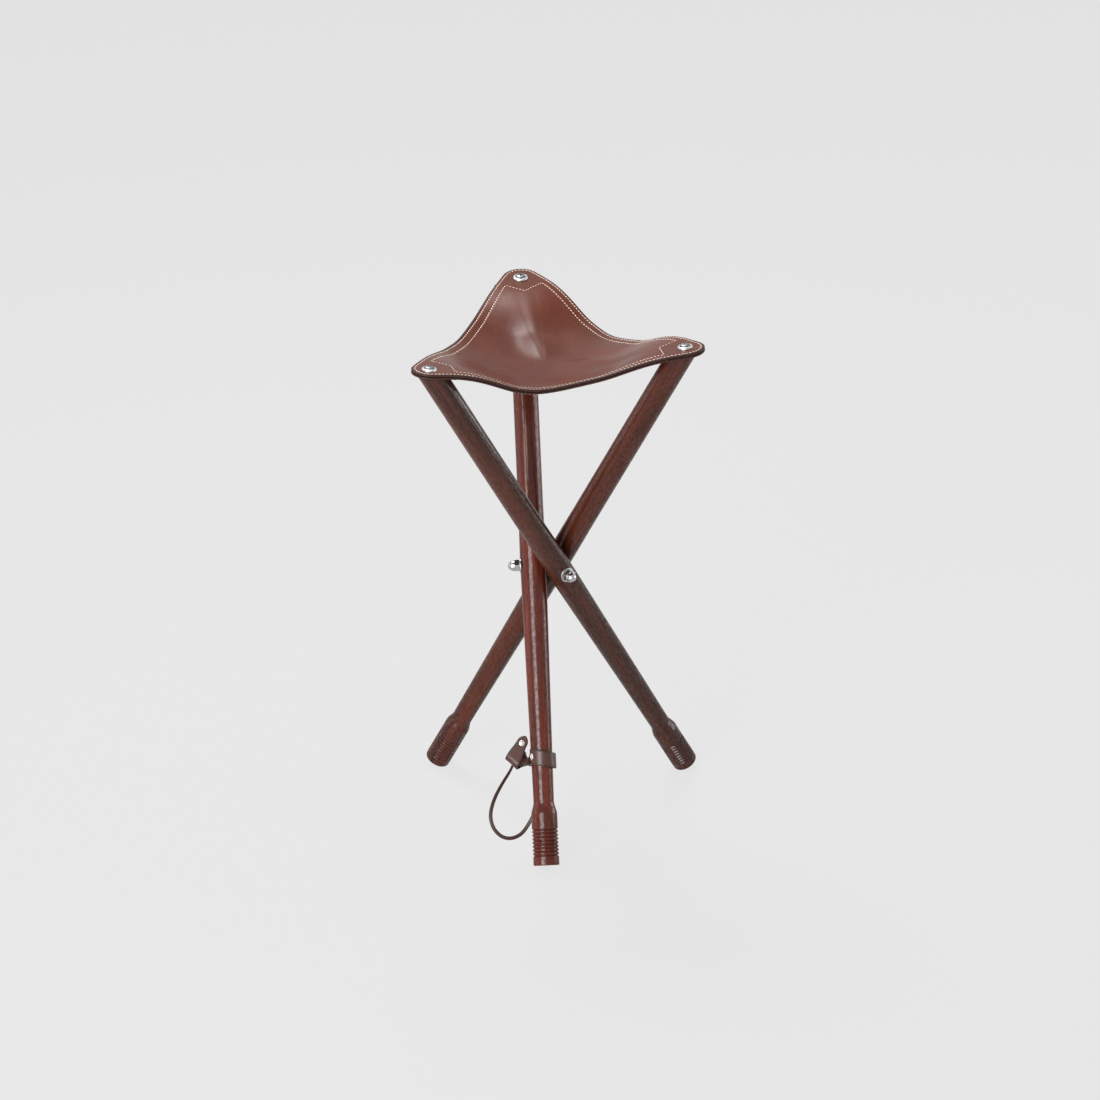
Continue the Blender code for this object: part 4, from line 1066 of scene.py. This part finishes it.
def add_sky(scene, stage):
    """Even light from all round, behind which the camera sees the backdrop's flat colour."""
    paint = Paint(bpy.data.worlds.new("studio"))
    scene.world = paint.owner
    light = paint.tree.nodes["Background"]
    paint.feed(light.inputs["Color"], (1.0, 1.0, 1.0))
    paint.feed(light.inputs["Strength"], stage.sky)
    seen = paint.node("ShaderNodeBackground", None, Color=(stage.backdrop,) * 3)
    mixed = paint.node("ShaderNodeMixShader", None, seen_directly(paint), light.outputs[0], seen.outputs[0])
    paint.feed(paint.tree.nodes["World Output"].inputs["Surface"], mixed.outputs[0])

def add_lamp(scene, name, power, place, target, width, height):
    """Rectangular lamp that shines from a place at a target, and that the camera doesn't see."""
    data = bpy.data.lights.new(name, "AREA")
    data.shape = "RECTANGLE"
    data.size = width
    data.size_y = height
    data.energy = power
    lamp = bpy.data.objects.new(name, data)
    lamp.location = place
    lamp.visible_camera = False
    lamp.rotation_euler = (Vector(target) - Vector(place)).to_track_quat("-Z", "Y").to_euler()
    scene.collection.objects.link(lamp)

# Operators

class STOOL_OT_stage(bpy.types.Operator):
    """Floor, studio light and the camera at the photograph's angle"""

    bl_idname = "stool.stage"
    bl_label = "Stage"

    def execute(self, context):
        scene = context.scene
        stage = scene.stool_stage
        scene.view_settings.view_transform = "Standard"
        add_camera(scene, stage)
        add_floor(stage)
        add_sky(scene, stage)
        for name, (place, target, width, height) in LAMPS.items():
            add_lamp(scene, name, getattr(stage, name), place, target, width, height)
        return {"FINISHED"}

class STOOL_OT_thong(bpy.types.Operator):
    """Flat thong that hangs in a loop from the strap's roll and goes back behind the strap"""

    bl_idname = "stool.thong"
    bl_label = "Thong"

    def execute(self, context):
        strap = context.scene.stool_strap
        path = curve_through(THONG_POINTS, 160)
        tangent = unit(np.gradient(path, axis=0))
        share = np.linspace(0.0, 1.0, len(path))[:, None]
        turn = math.radians(-60) + math.radians(72) * np.sin(math.pi * share) ** 2
        side = unit(np.cross(FRONT, tangent))
        ways = side * np.cos(turn) + np.cross(tangent, side) * np.sin(turn)
        widths = np.full(len(path), strap.lace_width)
        points, gap = ribbon_points(path, ways, widths, strap.lace_thickness, 0.0001)
        finish = tanned_leather("thong leather", scaled(strap.hide, 0.65), scaled(strap.hide, 0.4), 0.4)
        piece = grid_piece("thong_lace", on_front_leg(points), finish, STRIP_ANGLE, gap)
        dressed(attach(piece, "leg_b"), "thong", "thong")
        route = on_front_leg(path)
        return {"FINISHED"}

class STOOL_OT_legs(bpy.types.Operator):
    """Three turned legs with ringed feet"""

    bl_idname = "stool.legs"
    bl_label = "Legs"

    def execute(self, context):
        for key in LEGS:
            points = placed(leg_points(key), PIVOT[key], LEG_AXES[key])
            piece = grid_piece("turned_leg_" + key, points, stained_wood(key), math.radians(32))
            dressed(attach(piece, "leg_" + key), "leg", "leg_" + key)
        return {"FINISHED"}

class STOOL_OT_pivot(bpy.types.Operator):
    """Three-way bolt with its washers and domed cap nuts"""

    bl_idname = "stool.pivot"
    bl_label = "Pivot"

    def execute(self, context):
        steel = bright_plate("bolt steel", (0.55, 0.55, 0.54), 0.25)
        washer = bright_plate("pivot washer", (0.62, 0.62, 0.61), 0.22)
        nut = bright_plate("cap nut", (0.50, 0.50, 0.50), 0.12)
        half = CORE_HEIGHT / 2
        turned_piece("bolt_core", ((0, -half), (CORE_RADIUS, -half), (CORE_RADIUS, half), (0, half)), steel,
                     HUB, np.eye(3), "hub", "three_way_bolt", "three_way_bolt")
        corner = NUT_ACROSS_FLATS / math.sqrt(3)

        def flats(turn):
            return NUT_ACROSS_FLATS / 2 / np.cos((turn % (math.pi / 3)) - math.pi / 6)

        inner = CORE_RADIUS * 0.6 - ARM_OFFSET
        boss = -PIVOT_RADIUS - GAP
        end = SPOT_FACE + WASHER_THICKNESS + BOLT_PAST_WASHER
        shank = ((0, inner), (BOSS_RADIUS, inner), (BOSS_RADIUS, boss), (BOLT_RADIUS, boss),
                 (BOLT_RADIUS, end), (0, end))
        start = SPOT_FACE + GAP
        stop = start + WASHER_THICKNESS
        edge = WASHER_THICKNESS / 4
        bore = BOLT_RADIUS + GAP
        ring = np.concatenate((
            ((bore, start), (WASHER_RADIUS - edge, start)),
            rounded((WASHER_RADIUS, start + edge), (WASHER_RADIUS - edge, start), 4)[::-1],
            rounded((WASHER_RADIUS, stop - edge), (WASHER_RADIUS - edge, stop), 6),
            ((bore, stop),)))
        start = stop + GAP
        shoulder = start + NUT_HEX_HEIGHT
        base = shoulder + NUT_CHAMFER * 0.6
        dome = np.concatenate((
            ((0, start), (corner - 2.0 * NUT_CHAMFER, start)),
            rounded((corner, start + NUT_CHAMFER), (corner - 2.0 * NUT_CHAMFER, start), 5)[::-1],
            rounded((corner, shoulder - NUT_CHAMFER), (corner - 2.2 * NUT_CHAMFER, shoulder), 6),
            ((NUT_DOME_RADIUS + 0.0001, shoulder + 0.0001),),
            rounded((NUT_DOME_RADIUS, base), (0.0, start + NUT_HEIGHT), 16)))
        for key in LEGS:
            place = (PIVOT[key], LEG_AXES[key], "hub")
            turned_piece("bolt_arm_" + key, shank, steel, *place, "three_way_bolt", "three_way_bolt",
                         axis=0)
            turned_piece("washer_" + key, ring, washer, *place, "pivot_washer_" + key, "pivot_washer",
                         axis=0, ring=True)
            turned_piece("nut_" + key, dome, nut, *place, "cap_nut_" + key, "cap_nut", axis=0, limit=flats)
        return {"FINISHED"}

class STOOL_OT_seat(bpy.types.Operator):
    """Slung leather seat with the strips and corner patches sewn under it"""

    bl_idname = "stool.seat"
    bl_label = "Seat"

    def execute(self, context):
        seat = context.scene.stool_leather
        top = tanned_leather("seat leather", tuple(seat.hide), seat.edge)
        under = tanned_leather("edge leather", scaled(seat.hide, 0.7), seat.edge)
        edges = ("right", "left", "front")
        for lap, key in enumerate(CORNERS):
            columns = sector_columns(lap)
            sheet = layer_piece("seat_sheet_" + key, columns, sheet_section, top)
            dressed(bent(sheet), "seat_leather", "seat_leather")
            declared(columns, sheet_section, 0.0)
            section = banded_section(patch_border(lap), PATCH_LEATHER)
            columns = sector_columns(lap, -PATCH_SHARE + PATCH_MARGIN, PATCH_SHARE - PATCH_MARGIN)
            patch = layer_piece("patch_" + key, columns, section, under, False)
            dressed(bent(patch), "corner_patch", "corner_patch_" + key)
            declared(columns, section, LEATHER)
            section = banded_section(strip_border, STRIP_LEATHER)
            before = edge_position(lap - 1, 1.0 + np.linspace(-0.5, -PATCH_SHARE - PATCH_MARGIN, 40))
            after = edge_position(lap, np.linspace(PATCH_SHARE + PATCH_MARGIN, 0.5, 40))
            for edge, columns in ((edges[lap - 1], before), (edges[lap], after)):
                strip = layer_piece("strip_" + edge + "_" + key, columns, section, under, False)
                dressed(bent(strip), "edge_strip", "edge_strip_" + edge)
                declared(columns, section, LEATHER)
        return {"FINISHED"}

class STOOL_OT_stitching(bpy.types.Operator):
    """Cream stitching round the seat, inside its edges and over each corner patch"""

    bl_idname = "stool.stitching"
    bl_label = "Stitching"

    def execute(self, context):
        thread = sewing_thread()
        for lap in range(3):
            dressed(bent(stitch_piece(lap, thread)), "seat_leather")
        return {"FINISHED"}

class STOOL_OT_screws(bpy.types.Operator):
    """Cross-recess screws in cup washers at the seat's corners"""

    bl_idname = "stool.screws"
    bl_label = "Seat Screws"

    def execute(self, context):
        cup = bright_plate("cup washer", (0.58, 0.57, 0.57), 0.30)
        # Its last number paints shade into the cross recess: there the plate is 0.12 of its colour
        head = bright_plate("seat screw", (0.20, 0.20, 0.22), 0.34, 0.12)
        hole = SCREW_SHANK_RADIUS + GAP
        lip = rounded((CUP_RADIUS, GAP + 0.0003), (CUP_LIP_RADIUS, GAP + CUP_HEIGHT), 12)
        dish = ((CUP_LIP_RADIUS - 0.0003, GAP + CUP_HEIGHT - 0.00004),
                (SCREW_HEAD_RADIUS + 0.0002, GAP + CUP_HEIGHT - 0.0004),
                (hole, GAP + CUP_HEIGHT - SCREW_SINK))
        profile = np.concatenate((((hole, GAP), (CUP_RADIUS, GAP)), lip, dish))
        points, unshaded_mask = screw_head_points()
        for key in LEGS:
            place = (corner_place(key), corner_axes(key))
            turned_piece("cup_" + key, profile, cup, *place, "leg_" + key, "cup_washer_" + key,
                         "cup_washer", ring=True)
            piece = grid_piece("screw_" + key, placed(points, *place), head, math.radians(30), unshaded_mask)
            dressed(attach(piece, "leg_" + key), "seat_screw", "seat_screw_" + key)
        return {"FINISHED"}

class STOOL_OT_strap(bpy.types.Operator):
    """Closing strap: a band round the front leg, a slanting roll and a tongue"""

    bl_idname = "stool.strap"
    bl_label = "Strap"

    def execute(self, context):
        strap = context.scene.stool_strap
        path, ways, widths = strap_path()
        points, gap = ribbon_points(path, ways, widths, STRAP_LEATHER)
        finish = tanned_leather("strap leather", scaled(strap.hide, 0.72), scaled(strap.hide, 0.3), 0.42)
        piece = grid_piece("strap_band", on_front_leg(points), finish, STRIP_ANGLE, gap)
        dressed(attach(piece, "leg_b"), "closing_strap", "closing_strap")
        return {"FINISHED"}

class STOOL_OT_snap(bpy.types.Operator):
    """Snap fastener: cap and socket on the tongue, stud on the band"""

    bl_idname = "stool.snap"
    bl_label = "Snap"

    def execute(self, context):
        nickel = bright_plate("nickel", (0.74, 0.71, 0.66), 0.16)
        along, _, tongue, climb = strap_directions()
        crossing = FOLD_CENTRE + (FRONT - along * climb * math.pi / 2) * FOLD_RADIUS
        axes = np.array([tongue, np.cross(FRONT, tongue), FRONT]) @ LEG_AXES["b"]
        origin = on_front_leg(crossing + tongue * SNAP_PLACE)
        half = STRAP_LEATHER / 2
        base = half + GAP
        cap = np.concatenate((
            ((0, -base), (SNAP_POST_RADIUS, -base), (SNAP_POST_RADIUS, base), (SNAP_CAP_RADIUS, base)),
            rounded((SNAP_CAP_RADIUS, base + SNAP_CAP_HEIGHT * 0.2), (0.0, base + SNAP_CAP_HEIGHT), 14)))
        turned_piece("snap_button", cap, nickel, origin, axes, "leg_b", "snap_cap", "snap_cap")
        top = -half - 2.0 * GAP
        low = top - SNAP_SOCKET_HEIGHT
        middle = (SNAP_SOCKET_BORE + SNAP_SOCKET_RADIUS) / 2
        socket = np.concatenate((
            ((SNAP_SOCKET_BORE, top), (SNAP_SOCKET_BORE, low + 0.0002), (SNAP_SOCKET_BORE + 0.0002, low)),
            rounded((SNAP_SOCKET_RADIUS, top - GAP), (middle, low), 8)[::-1],
            ((SNAP_SOCKET_RADIUS, top),)))
        turned_piece("snap_ring", socket, nickel, origin, axes, "leg_b", "snap_socket", "snap_socket",
                     ring=True)
        x = STRAP_RADIUS * math.cos(STUD_ANGLE) - STRAP_STAND_OFF
        place = np.array([x, STRAP_RADIUS * math.sin(STUD_ANGLE), STRAP_SLANT * x])
        out = np.array([math.cos(STUD_ANGLE), math.sin(STUD_ANGLE), 0.0])
        axes = np.array([np.cross(UP, out), UP, out]) @ LEG_AXES["b"]
        flange = base + STUD_HEIGHT / 3
        top = base + STUD_HEIGHT
        stud = np.concatenate((
            ((0, -half), (SNAP_POST_RADIUS, -half), (SNAP_POST_RADIUS, base), (STUD_RADIUS, base)),
            rounded((STUD_RADIUS, base + 0.0002), (STUD_RADIUS - 0.0006, flange), 5),
            ((STUD_NECK_RADIUS, flange + GAP),),
            rounded((STUD_KNOB_RADIUS, top - 2.0 * GAP), (0.0, top), 10)))
        turned_piece("snap_post", stud, nickel, on_front_leg(place), axes, "leg_b", "snap_stud",
                     "snap_stud")
        return {"FINISHED"}

OPERATORS = (STOOL_OT_stage, STOOL_OT_thong, STOOL_OT_legs, STOOL_OT_pivot, STOOL_OT_seat,
             STOOL_OT_stitching, STOOL_OT_screws, STOOL_OT_strap, STOOL_OT_snap)
GROUPS = {"stool_wood": StoolWood, "stool_leather": StoolLeather, "stool_strap": StoolStrap,
          "stool_stage": StoolStage}

class STOOL_PT_pieces(bpy.types.Panel):
    """Lists the stool's pieces in the sidebar"""

    bl_idname = "STOOL_PT_pieces"
    bl_label = "Folding Tripod Stool"
    bl_space_type = "VIEW_3D"
    bl_region_type = "UI"
    bl_category = "Stool"

    def draw(self, context):
        for operator in OPERATORS:
            self.layout.operator(operator.bl_idname)
        for name, group in GROUPS.items():
            box = self.layout.box()
            for prop in group.__annotations__:
                box.prop(getattr(context.scene, name), prop)

def register():
    for made in (*GROUPS.values(), *OPERATORS, STOOL_PT_pieces):
        bpy.utils.register_class(made)
    for name, group in GROUPS.items():
        setattr(bpy.types.Scene, name, PointerProperty(type=group))

def unregister():
    for name in GROUPS:
        delattr(bpy.types.Scene, name)
    for made in (STOOL_PT_pieces, *reversed(OPERATORS), *GROUPS.values()):
        bpy.utils.unregister_class(made)

def main():
    register()
    for operator in OPERATORS:
        getattr(bpy.ops.stool, operator.bl_idname.split(".")[1])()

if __name__ == "__main__":
    main()
